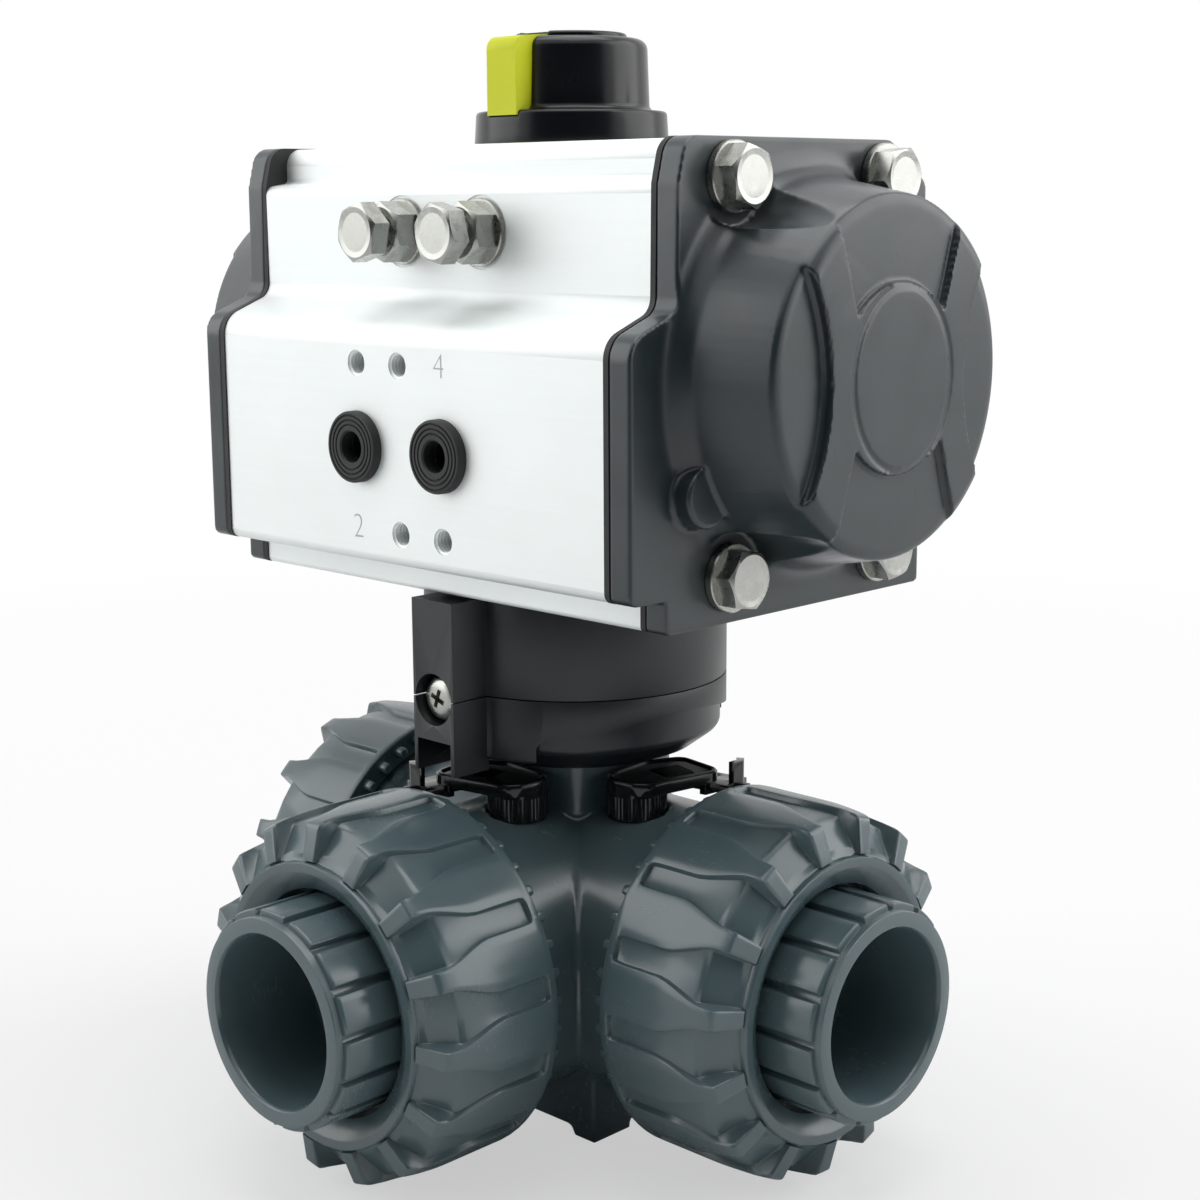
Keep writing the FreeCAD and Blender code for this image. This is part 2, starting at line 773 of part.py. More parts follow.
def make_union_seals():
    keep("carrier_o_rings", group("CarrierSeals", *[
        ring("CarrierSeal", "cavity_radius - carrier_seal_thickness / 2 - running_gap",
             "carrier_seal_thickness", port_point(along, "carrier_seal_place"), along)
        for _, along, _ in PORTS]))
    keep("union_o_rings", group("UnionSeals", *[
        ring("UnionSeal", "end_seal_radius", "end_seal_thickness",
             port_point(along, "thread_reach + face_gap - end_seal_thickness / 2"), along)
        for _, along, _ in PORTS]))


# Union nuts: ribbed lands on a turned core, with lock teeth on the rear face

def make_union_nut(name, along, spin):
    inner = "(thread_radius + thread_gap)"
    shoulder = "(thread_reach + face_gap + flange_thickness + running_gap)"
    land_start = "(nut_rear + nut_rim)"
    body = turned("Nut" + name.title(), (
        ("nut_mouth_radius", "nut_rear"), ("nut_radius", "nut_rear", "nut_edge"),
        ("nut_radius", land_start), ("nut_floor_radius", land_start),
        ("nut_floor_radius", "nut_shoulder - nut_bend"),
        ("nut_floor_radius - nut_floor_drop", "nut_shoulder", "nut_floor_round"),
        ("nut_nose_radius", "nut_front - nut_nose_height"), ("nut_nose_radius", "nut_front"),
        ("nut_mouth_radius", "nut_front"),
    ), CENTRE, along, spin)
    rear = "(nut_rear + nut_rim / 2)"
    tip = "(nut_front - nut_tip)"
    bend = "(nut_shoulder - land_bend)"
    waist = "(nut_shoulder + land_waist)"
    land_sketch = draw_outline(sketch_on(body, "YZ_Plane", "LandOutline", "land_root_radius"), (
        ("-land_half_width", rear), ("land_half_width", rear),
        ("land_half_width", bend, "land_bend_round"), ("land_tip_half_width", waist, "land_bend_round"),
        ("land_tip_half_width", tip), ("-land_tip_half_width", tip),
        ("-land_tip_half_width", waist, "land_bend_round"),
        ("-land_half_width", bend, "land_bend_round"),
    ))
    land = body.newObject("PartDesign::Pad", "Land")
    land.Profile = land_sketch
    bind(land, Length="nut_radius - land_root_radius + 1")
    patterned(body, land, "land_count")
    trim_sketch = draw_outline(sketch_on(body, "XZ_Plane", "LandTrim"), (
        ("nut_radius", "nut_rear - 1"), ("nut_radius + 9", "nut_rear - 1"),
        ("nut_radius + 9", "nut_front + 3"), ("nut_step_radius", "nut_front + 3"),
        ("nut_step_radius", tip),
        ("nut_radius - land_drop", "nut_front - land_corner_reach", "land_corner_round"),
        ("nut_radius - land_shoulder_drop", "nut_shoulder"), ("nut_radius", "nut_shoulder - nut_bend"),
    ))
    trim = body.newObject("PartDesign::Groove", "LandTrimCut")
    trim.Profile = trim_sketch
    trim.ReferenceAxis = (trim_sketch, ["V_Axis"])
    trim.Angle = 360
    thread_sketch = draw_outline(sketch_on(body, "XZ_Plane", "ThreadRoom"),
                                 rectangle("0", inner, "nut_rear - 1", shoulder))
    thread_room = body.newObject("PartDesign::Groove", "ThreadRoomCut")
    thread_room.Profile = thread_sketch
    thread_room.ReferenceAxis = (thread_sketch, ["V_Axis"])
    thread_room.Angle = 360
    tooth_sketch = draw_outline(sketch_on(body, "XZ_Plane", "ToothOutline", "-tooth_width / 2"),
                                rectangle("tooth_inner", "tooth_outer", "nut_rear - tooth_length", rear))
    tooth = body.newObject("PartDesign::Pad", "Tooth")
    tooth.Profile = tooth_sketch
    bind(tooth, Length="tooth_width")
    patterned(body, tooth, "tooth_count")
    return keep(f"union_nut_{name}", body)


def make_end_connector(name, along):
    flange_face = "(thread_reach + face_gap)"
    groove_start = f"({flange_face} + flange_thickness + 1)"
    body = turned("Connector" + name.title(), (
        ("bore_radius", flange_face), ("flange_radius", flange_face, "connector_edge"),
        ("flange_radius", f"{flange_face} + flange_thickness"),
        ("sleeve_radius", f"{flange_face} + flange_thickness"),
        ("sleeve_radius", "port_reach - sleeve_rim"),
        ("sleeve_floor_radius", "port_reach - sleeve_rim"),
        ("sleeve_floor_radius", "port_reach", "connector_edge"),
        ("socket_mouth_radius", "port_reach"), ("socket_radius", "port_reach - socket_lead"),
        ("socket_radius", "socket_floor"), ("bore_radius", "socket_floor"),
    ), CENTRE, along)
    sketch = draw_outline(sketch_on(body, "YZ_Plane", "GrooveOutline", "sleeve_floor_radius"),
                          rectangle("-sleeve_groove_width / 2", "sleeve_groove_width / 2",
                                    groove_start, "port_reach - sleeve_rim"))
    groove = body.newObject("PartDesign::Pocket", "SleeveGroove")
    groove.Profile = sketch
    groove.Reversed = True
    bind(groove, Length="sleeve_radius - sleeve_floor_radius + 1")
    patterned(body, groove, "sleeve_groove_count")
    return keep(f"end_connector_{name}", body)


# Nut lock levers, each drawn round its own pivot for the right-hand port

def lever_outline():
    """Plan of the lever's top plate, with the pivot at the origin and the port along +X."""
    return (
        ("-drum_radius", "-drum_radius", "lever_corner"), ("drum_radius", "-drum_radius", "lever_corner"),
        ("lever_elbow", "0", "lever_elbow_round"),
        ("lever_side_across", "lever_side_along", "lever_tip_round"),
        ("lever_tip_across", "lever_tip_along", "lever_tip_round"),
        ("-lever_back_across", "lever_back_along", "lever_elbow_round"),
    )


def make_lever_blank():
    """Drum, top plate and down-turned thumb end of a lever, with its underside at height zero."""
    drum = cut("LeverDrum", cylinder("LeverDrumBlank", "drum_radius", "drum_height"),
               cylinder("LeverPinHole", "pin_radius + running_gap", "drum_height - drum_roof + 1",
                        ("0", "0", "-1")))
    plate = padded("LeverPlate", "XY_Plane", lever_outline(), "lever_thickness", "drum_height - loose_gap")
    thumb = padded("LeverThumb", "XY_Plane", (
        ("thumb_inner", "thumb_low"), ("thumb_outer", "thumb_low"),
        ("thumb_side_across", "thumb_side_along", "lever_thickness"), ("thumb_tip_across", "thumb_high"),
    ), "thumb_height", "drum_height - thumb_drop")
    return drum, plate, thumb


def make_levers():
    """The levers rest clear of the nuts; at full throw the pawl stands between two lock teeth."""
    pawl_radius = "(tooth_inner + tooth_outer) / 2"
    pawl_v = f"({pawl_radius} * sin(pawl_angle) + pivot_offset - pawl_width / 2)"
    pawl_tip = "(nut_rear - tooth_length + pawl_depth - pivot_reach)"
    pawl_low = f"({pawl_radius} * cos(pawl_angle) - lever_seat - pawl_sink)"
    arm_low = f"({pawl_low} + arm_lift)"
    pawl = box("Pawl", (f"{pawl_tip} - pawl_length", f"{pawl_v} - pawl_width / 2", pawl_low),
               ("pawl_length", "pawl_width", "pawl_height"))
    arm = box("PawlArm", ("drum_radius", f"{pawl_v} - arm_offset", arm_low),
              (f"{pawl_tip} - arm_gap - drum_radius", "arm_width", f"drum_height - {arm_low} + loose_gap"))
    hook = padded("Hook", "XY_Plane", (
        (f"{pawl_tip} - hook_root", f"{pawl_v} - hook_half + hook_hollow"),
        (f"{pawl_tip} - arm_gap", f"{pawl_v} - hook_half"),
        (f"{pawl_tip} - hook_front", f"{pawl_v} + hook_hollow", "arm_gap"),
        (f"{pawl_tip} - arm_gap - hook_hollow", f"{pawl_v} + hook_half"),
        (f"{pawl_tip} - hook_back", f"{pawl_v} + hook_half - hook_hollow"),
        (f"{pawl_tip} - arm_gap - 2 * hook_hollow", f"{pawl_v} + hook_hollow", "hook_hollow"),
    ), "hook_height", arm_low)
    right = joined("LeverRight", *make_lever_blank(), pawl, arm, hook)
    placed(right, (*lever_pivot("+x"), "axis_height + lever_seat + running_gap"),
           spin=amount_of("lever_throw"))
    right.setExpression("Placement.Rotation.Angle", linked("lever_throw"))
    keep("lock_lever_right", right)
    keep("lock_lever_left", mirrored("LeverLeft", right, Vector(1, 0, 0)))
    keep("lock_lever_branch", mirrored("LeverBranch", right, Vector(1, 1, 0)))


# Mounting module: two halves parted on a level plane, held by screws through their ears

def ear(name, low, high, side):
    """One half's part of the ear on the front (-1) or back (+1) of the module."""
    start = "-ear_reach" if side < 0 else "module_radius - ear_root"
    return box(name, ("-ear_half_width", start, f"axis_height + {low}"),
               ("2 * ear_half_width", "ear_reach - module_radius + ear_root", f"{high} - ({low})"))


def lock_screw_holes():
    holes = []
    for sign, along in (("-", "+y"), ("", "-y")):
        at = ("0", f"{sign}(ear_reach + 1)", "axis_height + parting_rise")
        holes.append(cylinder("LockScrewHead", "lock_screw_hole",
                              "lock_screw_sink + lock_screw_head_height + 1", at, along))
        holes.append(cylinder("LockScrewBore", "lock_screw_shank + fixed_gap",
                              "lock_screw_sink + lock_screw_head_height + lock_screw_length + 2",
                              at, along))
    return holes


def make_module_lower():
    cone = (("module_neck_radius", "module_neck_rise"),
            ("module_neck_radius + neck_flare", "module_neck_rise + neck_flare_rise"),
            ("relief_radius", "module_neck_rise + cone_rise", "cone_round"),
            ("relief_radius", "parting_rise"))
    core = turned("LowerCore", (
        ("tower_half - 1", "module_neck_rise"), *cone, ("tower_half - 1", "parting_rise")))
    skirt = turned("LowerSkirt", (
        ("relief_radius - skirt_depth", "module_low_rise"),
        ("module_radius", "module_low_rise", "skirt_edge"), ("module_radius", "parting_rise"),
        ("relief_radius - skirt_depth", "parting_rise"),
    ))
    arches = []
    for side, start in (("Right", "arch_start"), ("Left", "-module_radius - 1")):
        block = padded("Arch" + side, "YZ_Plane", (
            ("-arch_half_width", "axis_height + module_low_rise - 1"),
            ("arch_half_width", "axis_height + module_low_rise - 1"),
            ("arch_half_width", "axis_height + arch_end_rise", "arch_shoulder_round"),
            ("0", "axis_height + arch_crown_rise", "arch_crown_round"),
            ("-arch_half_width", "axis_height + arch_end_rise", "arch_shoulder_round"),
        ), "module_radius + 1 - arch_start", start)
        arches.append(cut("ArchRing" + side, block, turned("ArchCore", (
            ("0", "module_neck_rise"), *cone, ("0", "parting_rise")))))
    rails = []
    for side in (-1, 1):
        for start in ("-ear_half_width", "ear_half_width - ear_rail"):
            front = "-ear_reach" if side < 0 else "module_radius - 1"
            rails.append(box("EarRail", (start, front, "axis_height + ear_rail_rise"),
                             ("ear_rail", "ear_reach - module_radius + 1",
                              "ear_low_rise - ear_rail_rise + 1")))
    ears = [ear("LowerEar", "ear_low_rise", "parting_rise", side) for side in (-1, 1)]
    solid = joined("LowerSolid", core, cut("LowerSkirtOpen", skirt, *arches), *ears, *rails)
    tower_room = box("TowerRoom", ("-tower_half - fixed_gap", "-tower_half - fixed_gap", "axis_height"),
                     ("2 * (tower_half + fixed_gap)", "2 * (tower_half + fixed_gap)",
                      "tower_rise + fixed_gap"))
    upper_room = cylinder("LowerRoom", "module_cavity_radius", "parting_rise + 1 - tower_rise",
                          ("0", "0", "axis_height + tower_rise"))
    return keep("module_lower_half", cut("LowerHalf", solid, tower_room, upper_room, *lock_screw_holes()))


def make_module_upper():
    start = "(parting_rise + parting_gap)"
    plate = "(actuator_rise - module_plate)"
    hole = "(coupling_radius + 1)"
    shell = turned("UpperShell", (
        (hole, plate), ("module_cavity_radius", plate), ("module_cavity_radius", start),
        ("module_radius", start), ("module_radius", "actuator_rise"), (hole, "actuator_rise"),
    ))
    ears = [ear("UpperEar", start, "ear_top_rise", side) for side in (-1, 1)]
    screw_holes = []
    for x_side, y_side in flange_corners():
        at = (x_side, y_side, "axis_height + parting_rise")
        screw_holes.append(cylinder("FlangeHeadRoom", "flange_screw_head + face_gap",
                                    "actuator_rise - module_plate - parting_rise", at))
        screw_holes.append(cylinder("FlangeHole", "flange_screw_radius + 0.1",
                                    "actuator_rise - parting_rise + 1", at))
    return keep("module_upper_half", cut("UpperHalf", joined("UpperSolid", shell, *ears),
                                         *screw_holes, *lock_screw_holes()))


def flange_corners():
    """The four screw places on the drilled circle between module and actuator."""
    offset = "flange_circle_radius / sqrt(2)"
    return [(f"{x_sign}{offset}", f"{y_sign}{offset}") for x_sign in ("", "-") for y_sign in ("", "-")]


def make_module_screws():
    end = "(lock_screw_head_height + lock_screw_length)"
    screws = [turned("LockScrew", (
        ("0", "0"), ("lock_screw_head", "0", "lock_screw_crown"),
        ("lock_screw_head", "lock_screw_head_height"), ("lock_screw_shank", "lock_screw_head_height"),
        ("lock_screw_shank", f"{end} - lock_screw_point"), ("0", end),
    ), ("0", f"{sign}(ear_reach - lock_screw_sink)", "axis_height + parting_rise"), along)
        for sign, along in (("-", "+y"), ("", "-y"))]
    keep("module_lock_screws", group("ModuleLockScrews", *screws))
    flange_screws = []
    low = "axis_height + actuator_rise - module_plate - flange_screw_head_height"
    for x_side, y_side in flange_corners():
        head = cut("FlangeScrewHead",
                   cylinder("FlangeHeadBlank", "flange_screw_head", "flange_screw_head_height",
                            (x_side, y_side, low)),
                   hexagon("FlangeSocket", "flange_key", "flange_key_depth", (x_side, y_side, low), "+z"))
        shank = cylinder("FlangeShank", "flange_screw_radius",
                         "module_plate + flange_screw_reach + 1",
                         (x_side, y_side, "axis_height + actuator_rise - module_plate - 1"))
        flange_screws.append(joined("FlangeScrew", head, shank))
    keep("module_flange_screws", group("FlangeScrews", *flange_screws))


def make_coupling():
    low = "(stem_rise + face_gap)"
    drum = cylinder("CouplingDrum", "coupling_radius", f"actuator_rise - face_gap - {low}",
                    ("0", "0", f"axis_height + {low}"))
    square = box("CouplingSquare", ("-coupling_square / 2", "-coupling_square / 2",
                                    "axis_height + actuator_rise - 1"),
                 ("coupling_square", "coupling_square", "coupling_square_length + 1"))
    slot = box("CouplingSlot", ("-tang_width / 2 - running_gap", "-tang_thickness / 2 - running_gap",
                                "axis_height + stem_rise"),
               ("tang_width + 2 * running_gap", "tang_thickness + 2 * running_gap",
                "tang_height + face_gap"))
    return keep("stem_coupling", cut("Coupling", joined("CouplingSolid", drum, square), slot))


# Actuator body: extruded profile with the cylinder bore, drillings and spot faces

def above_base(rise):
    return f"axis_height + actuator_rise + {rise}"


def profile_corners(top, front_gap="0"):
    """The body's outline, from the front shelf down round the underside to its top corners."""
    front = f" - {front_gap}"
    return [
        (f"-upper_front{front}", above_base("shelf_top"), "shelf_round"),
        (f"-bulge_width{front}", above_base("bulge_top"), "bulge_round"),
        (f"-bulge_width{front}", above_base("base_height"), "bulge_foot_round"),
        (f"-base_half_width{front}", above_base("base_height"), "base_round"),
        (f"-base_half_width{front}", above_base("0"), "base_round"),
        ("back_width", above_base("0"), "base_round"),
    ] + top


def make_actuator_body():
    step = above_base("upper_height + roof_step")
    corners = profile_corners([
        ("back_width", above_base("upper_height"), "upper_round"),
        ("roof_half_width", step, "roof_step_round"),
        ("roof_half_width", above_base("body_height"), "roof_round"),
        ("-roof_half_width", above_base("body_height"), "roof_round"),
        ("-roof_half_width", step, "roof_step_round"),
        ("-upper_front", above_base("upper_height"), "upper_round"),
    ])
    solid = padded("BodyProfile", "YZ_Plane", corners, "2 * body_half_length", "-body_half_length")
    bore_rise = above_base("bore_height")
    hollows = [
        cylinder("CylinderBore", "cylinder_radius", "2 * body_half_length + 2",
                 ("-body_half_length - 1", "0", bore_rise), "+x"),
        cylinder("LowJournalBore", "pinion_low_radius + running_gap", "bore_height",
                 ("0", "0", above_base("-1"))),
        cylinder("TopJournalBore", "pinion_shaft_radius + running_gap", "body_height",
                 ("0", "0", above_base("bore_height"))),
        cylinder("CamRoom", "cam_room_radius", "cam_thickness + 2 * cam_side_room",
                 ("0", "0", above_base("stop_height - cam_thickness / 2 - cam_side_room"))),
    ]
    for x_side, y_side in flange_corners():
        hollows.append(cylinder("BaseThread", "flange_screw_radius + fixed_gap", "flange_screw_reach + 1",
                                (x_side, y_side, above_base("0"))))
    for sign in ("-", ""):
        port_x = f"{sign}port_spacing / 2"
        hollows.append(cylinder("PortSeat", "port_ring_radius + fixed_gap", "port_seat_depth + 1",
                                (port_x, "-bulge_width - 1", above_base("port_height")), "+y"))
        hollows.append(cylinder("PortHole", "port_hole_radius", "port_hole_depth + 1",
                                (port_x, "-bulge_width - 1", above_base("port_height")), "+y"))
        stop_x = f"{sign}stop_spacing / 2"
        hollows.append(cylinder("StopThread", "stop_screw_radius + running_gap", "upper_front - cam_flat",
                                (stop_x, "-upper_front - 1", above_base("stop_height")), "+y"))
        hollows.append(cylinder("StopSeat", "stop_seat_radius", "stop_seat_depth + 1",
                                (stop_x, "-upper_front - 1", above_base("stop_height")), "+y"))
    for pilot_x, pilot_z in pilot_places():
        hollows.append(cylinder("PilotHole", "pilot_radius", "pilot_depth + 1",
                                (pilot_x, "-bulge_width - 1", pilot_z), "+y"))
    for along, sign in (("-x", ""), ("+x", "-")):
        for hole_y, hole_z in cap_screw_places():
            hollows.append(cylinder("CapThread", "cap_screw_radius + fixed_gap", "cap_thread_depth + 1",
                                    (f"{sign}(body_half_length + 1)", hole_y, hole_z), along))
    for x_sign in ("", "-"):
        for y_sign in ("", "-"):
            hollows.append(cylinder("TopHole", "pilot_radius", "top_hole_depth + 1",
                                    (f"{x_sign}top_hole_length / 2", f"{y_sign}top_hole_width / 2",
                                     above_base("body_height + 1")), "-z"))
    return keep("actuator_body", cut("ActuatorBody", solid, *hollows))


def pilot_places():
    """Four tapped holes of the solenoid valve pattern: one pair above, one pair below the ports."""
    up = above_base("port_height + pilot_spacing / 2")
    down = above_base("port_height - pilot_spacing / 2")
    return [("-port_spacing / 2", up), ("0", up), ("0", down), ("port_spacing / 2", down)]


def cap_screw_places():
    return [(f"{y_sign}cap_screw_y", above_base(f"bore_height {z_sign} cap_screw_z"))
            for y_sign in ("", "-") for z_sign in ("+", "-")]


def make_port_rings():
    for name, sign in (("4", ""), ("2", "-")):
        at = (f"{sign}port_spacing / 2", "-bulge_width + port_seat_depth", above_base("port_height"))
        keep(f"air_port_ring_{name}", cut("PortRing", cylinder(
            "PortRingBlank", "port_ring_radius", "port_ring_height + port_seat_depth", at, "-y"),
            cylinder("PortRingHole", "port_hole_radius", "port_ring_height + port_seat_depth + 1",
                     at, "-y")))


# Travel stop screws with their lock nuts and washers

def make_stops():
    nuts, washers = [], []
    height = above_base("stop_height")
    for name, sign in (("right", ""), ("left", "-")):
        stop_x = f"{sign}stop_spacing / 2"
        tip = "(cam_flat + stop_gap)"
        head = hexagon("StopHead", "stop_head_across", "stop_head_height",
                       (stop_x, "-stop_head_reach + stop_head_height", height), "-y",
                       amount_of("stop_head_turn"))
        shank = cylinder("StopShank", "stop_screw_radius",
                         f"stop_head_reach - stop_head_height - {tip} + 1",
                         (stop_x, f"-{tip}", height), "-y")
        keep(f"stop_screw_{name}", joined("StopScrew", head, shank))
        washer_at = (stop_x, "-upper_front + stop_seat_depth", height)
        washers.append(cut("StopWasher", cylinder("StopWasherDisc", "stop_washer_radius",
                                                  "stop_washer_thickness", washer_at, "-y"),
                           cylinder("StopWasherHole", "stop_screw_radius + loose_gap",
                                    "stop_washer_thickness + 1", washer_at, "-y")))
        nut_at = (stop_x, "-upper_front + stop_seat_depth - stop_washer_thickness", height)
        nuts.append(cut("StopNut", hexagon("StopNutBlank", "stop_head_across", "stop_nut_height",
                                           nut_at, "-y", amount_of("stop_nut_turn")),
                        cylinder("StopNutBore", "stop_screw_radius + running_gap",
                                 "stop_nut_height + 1", nut_at, "-y")))
    keep("stop_lock_nuts", group("StopNuts", *nuts))
    keep("stop_washers", group("StopWashers", *washers))


# Pinion, racks and pistons

def pitch_radius():
    return amount_of("tooth_module * pinion_teeth / 2")


def involute_point(base_radius, radius, start_angle, side):
    """A point of an involute flank at a radius, for a tooth whose flank starts at an angle."""
    roll = math.sqrt(max((radius / base_radius) ** 2 - 1, 0.0))
    angle = start_angle + side * (roll - math.atan(roll))
    return Vector(radius * math.cos(angle), radius * math.sin(angle), 0)


def pinion_tooth_ring(low, height):
    """The toothed part of the pinion, one tooth pointing straight to each rack."""
    module = amount_of("tooth_module")
    teeth = int(amount_of("pinion_teeth"))
    pressure = math.radians(amount_of("pressure_angle"))
    pitch = pitch_radius()
    base = pitch * math.cos(pressure)
    tip = pitch + module * amount_of("tooth_addendum")
    root = pitch - module * amount_of("tooth_dedendum")
    half_tooth = math.pi / (2 * teeth) - amount_of("tooth_backlash") / (2 * pitch)
    flank_start = half_tooth + math.tan(pressure) - pressure
    edges = []
    last = None
    for index in range(teeth):
        middle = -math.pi / 2 + index * 2 * math.pi / teeth
        rise = [involute_point(base, radius, middle - flank_start, 1)
                for radius in (base, (base + tip) / 2, tip)]
        fall = [involute_point(base, radius, middle + flank_start, -1)
                for radius in (tip, (base + tip) / 2, base)]
        foot_in = rise[0] * (root / base)
        foot_out = fall[2] * (root / base)
        if last is not None:
            edges.append(Part.LineSegment(last, foot_in).toShape())
        else:
            first = foot_in
        edges += [Part.LineSegment(foot_in, rise[0]).toShape(), Part.Arc(*rise).toShape(),
                  Part.LineSegment(rise[2], fall[0]).toShape(), Part.Arc(*fall).toShape(),
                  Part.LineSegment(fall[2], foot_out).toShape()]
        last = foot_out
    edges.append(Part.LineSegment(last, first).toShape())
    ring_shape = Part.Face(Part.Wire(edges)).extrude(Vector(0, 0, height))
    ring_shape.translate(Vector(0, 0, low))
    return ring_shape


def rack_outline():
    """Plan of the right-hand piston's rack arm, teeth towards the pinion."""
    module = amount_of("tooth_module")
    pitch = math.pi * module
    slope = math.tan(math.radians(amount_of("pressure_angle")))
    pitch_y = -pitch_radius()
    tip_y = pitch_y + module * amount_of("tooth_addendum")
    root_y = pitch_y - module * amount_of("tooth_dedendum")
    half = pitch / 4 - amount_of("tooth_backlash") / 4
    sets = int(amount_of("rack_tooth_sets"))
    end = -amount_of("arm_end")
    points = [Vector(amount_of("piston_inner_face") + 1, root_y, 0)]
    for index in range(2, 2 - sets, -1):
        middle = (index - 0.5) * pitch
        for offset, level in ((half + (pitch_y - root_y) * slope, root_y),
                              (half - (tip_y - pitch_y) * slope, tip_y)):
            points.append(Vector(middle + offset, level, 0))
        for offset, level in ((half - (tip_y - pitch_y) * slope, tip_y),
                              (half + (pitch_y - root_y) * slope, root_y)):
            points.append(Vector(middle - offset, level, 0))
    back = -amount_of("cylinder_radius")
    points += [Vector(end, root_y, 0), Vector(end, back, 0),
               Vector(amount_of("piston_inner_face") + 1, back, 0)]
    return Part.makePolygon(points + points[:1])


def make_piston(name):
    """Right-hand piston at rest; the left-hand one is the same piece turned half round."""
    bore_rise = above_base("bore_height")
    groove = "(piston_radius - piston_seal_thickness - seal_ease - fixed_gap)"
    groove_half = "(piston_seal_thickness / 2 + seal_side_room)"
    back = "(piston_inner_face + piston_thickness)"
    head = turned("PistonHead", (
        ("0", "piston_inner_face"), ("piston_radius", "piston_inner_face", "piston_edge"),
        ("piston_radius", f"piston_seal_place - {groove_half}"),
        (groove, f"piston_seal_place - {groove_half}"), (groove, f"piston_seal_place + {groove_half}"),
        ("piston_radius", f"piston_seal_place + {groove_half}"),
        ("piston_radius", back, "piston_edge"), ("piston_dish_radius", back),
        ("piston_dish_radius - piston_dish_slope", f"{back} - piston_dish_depth"),
        ("0", f"{back} - piston_dish_depth"),
    ), ("0", "0", bore_rise), "+x")
    rack = document.addObject("Part::Feature", "RackBar")
    bar = Part.Face(rack_outline()).extrude(Vector(0, 0, 2 * amount_of("rack_half_height")))
    rack.Shape = bar
    placed(rack, ("0", "0", above_base("bore_height - rack_half_height")))
    arm = shared("RackArm", rack, cylinder("ArmBack", "arm_back_radius", "2 * body_half_length",
                                          ("-body_half_length", "0", bore_rise), "+x"))
    slot = pad_strip("PadSlot", "fixed_gap")
    return keep(f"piston_{name}", cut("Piston", joined("PistonSolid", head, arm), slot))


def pad_strip(name, gap="0"):
    """The guide pad let into the back of the rack arm, grown by a gap for its slot."""
    bore_rise = above_base("bore_height")
    window = box(name + "Window", (f"-pad_length / 2 - {gap}", "-cylinder_radius - 1",
                                   above_base(f"bore_height - pad_half_height - {gap}")),
                 (f"pad_length + 2 * {gap}", "cylinder_radius / 2", f"2 * (pad_half_height + {gap})"))
    tube = cut(name + "Tube", cylinder(name + "Outer", "pad_radius", "2 * body_half_length",
                                      ("-body_half_length", "0", bore_rise), "+x"),
               cylinder(name + "Inner", f"pad_radius - pad_thickness - {gap}", "2 * body_half_length",
                        ("-body_half_length", "0", bore_rise), "+x"))
    return shared(name, window, tube)


def make_pistons():
    half_turn = Placement(Vector(), Rotation(Vector(0, 0, 1), 180))
    pieces = {
        "piston": make_piston("right"),
        "piston_guide": keep("piston_guide_right", pad_strip("GuidePad")),
        "piston_o_ring": keep("piston_o_ring_right", ring(
            "PistonSeal", "piston_radius - piston_seal_thickness / 2 - seal_ease", "piston_seal_thickness",
            ("piston_seal_place", "0", above_base("bore_height")), "+x")),
    }
    for label, piece in pieces.items():
        twin = document.addObject("Part::Compound", piece.Name + "Twin")
        twin.Links = [piece]
        twin.Placement = half_turn
        keep(f"{label}_left", twin)


def make_pinion():
    low_top = "(bore_height - cylinder_radius - 1)"
    relief = "(pinion_shaft_radius - pinion_relief)"
    relief_top = "(bore_height + rack_half_height + pinion_relief_room)"
    clip_low = "(body_height + face_gap + thrust_washer_thickness)"
    clip_floor = "(pinion_shaft_radius - circlip_groove)"
    clip_high = f"({clip_low} + circlip_thickness + 2 * running_gap)"
    shaft = turned("PinionShaft", (
        ("0", "0"), ("pinion_low_radius", "0"), ("pinion_low_radius", low_top), (relief, low_top),
        (relief, relief_top), ("pinion_shaft_radius", relief_top), ("pinion_shaft_radius", clip_low),
        (clip_floor, clip_low), (clip_floor, clip_high), ("pinion_shaft_radius", clip_high),
        ("pinion_shaft_radius", "body_height + pinion_proud", "pinion_end_edge"),
        ("0", "body_height + pinion_proud"),
    ), ("0", "0", above_base("2 * running_gap")))
    teeth = document.addObject("Part::Feature", "PinionTeeth")
    teeth.Shape = pinion_tooth_ring(0, 2 * amount_of("rack_half_height"))
    placed(teeth, ("0", "0", above_base("bore_height - rack_half_height")))
    socket = box("PinionSocket", ("-pinion_socket_half", "-pinion_socket_half", above_base("-1")),
                 ("2 * pinion_socket_half", "2 * pinion_socket_half", "pinion_socket_depth + 1"))
    return keep("pinion", cut("Pinion", joined("PinionSolid", shaft, teeth), socket))


def make_stop_cam():
    """A part disc with two flats, a quarter turn apart, that meet the stop screws."""
    low = above_base("stop_height - cam_thickness / 2")
    disc = cylinder("CamDisc", "cam_radius", "cam_thickness", ("0", "0", low))
    side_cut = box("CamSideCut", ("-cam_radius - 1", "-cam_radius - 1", low),
                   ("cam_radius + 1 - cam_flat", "2 * cam_radius + 2", "cam_thickness"))
    front_cut = box("CamFrontCut", ("-cam_radius - 1", "-cam_radius - 1", low),
                    ("2 * cam_radius + 2", "cam_radius + 1 - cam_flat", "cam_thickness"))
    hub = cylinder("CamHub", "cam_hub_radius", "cam_thickness", ("0", "0", low))
    bore = cylinder("CamBore", "pinion_shaft_radius + fixed_gap", "cam_thickness", ("0", "0", low))
    return keep("stop_cam", cut("StopCam", joined("CamSolid", cut("CamLobe", disc, side_cut, front_cut),
                                                  hub), bore))


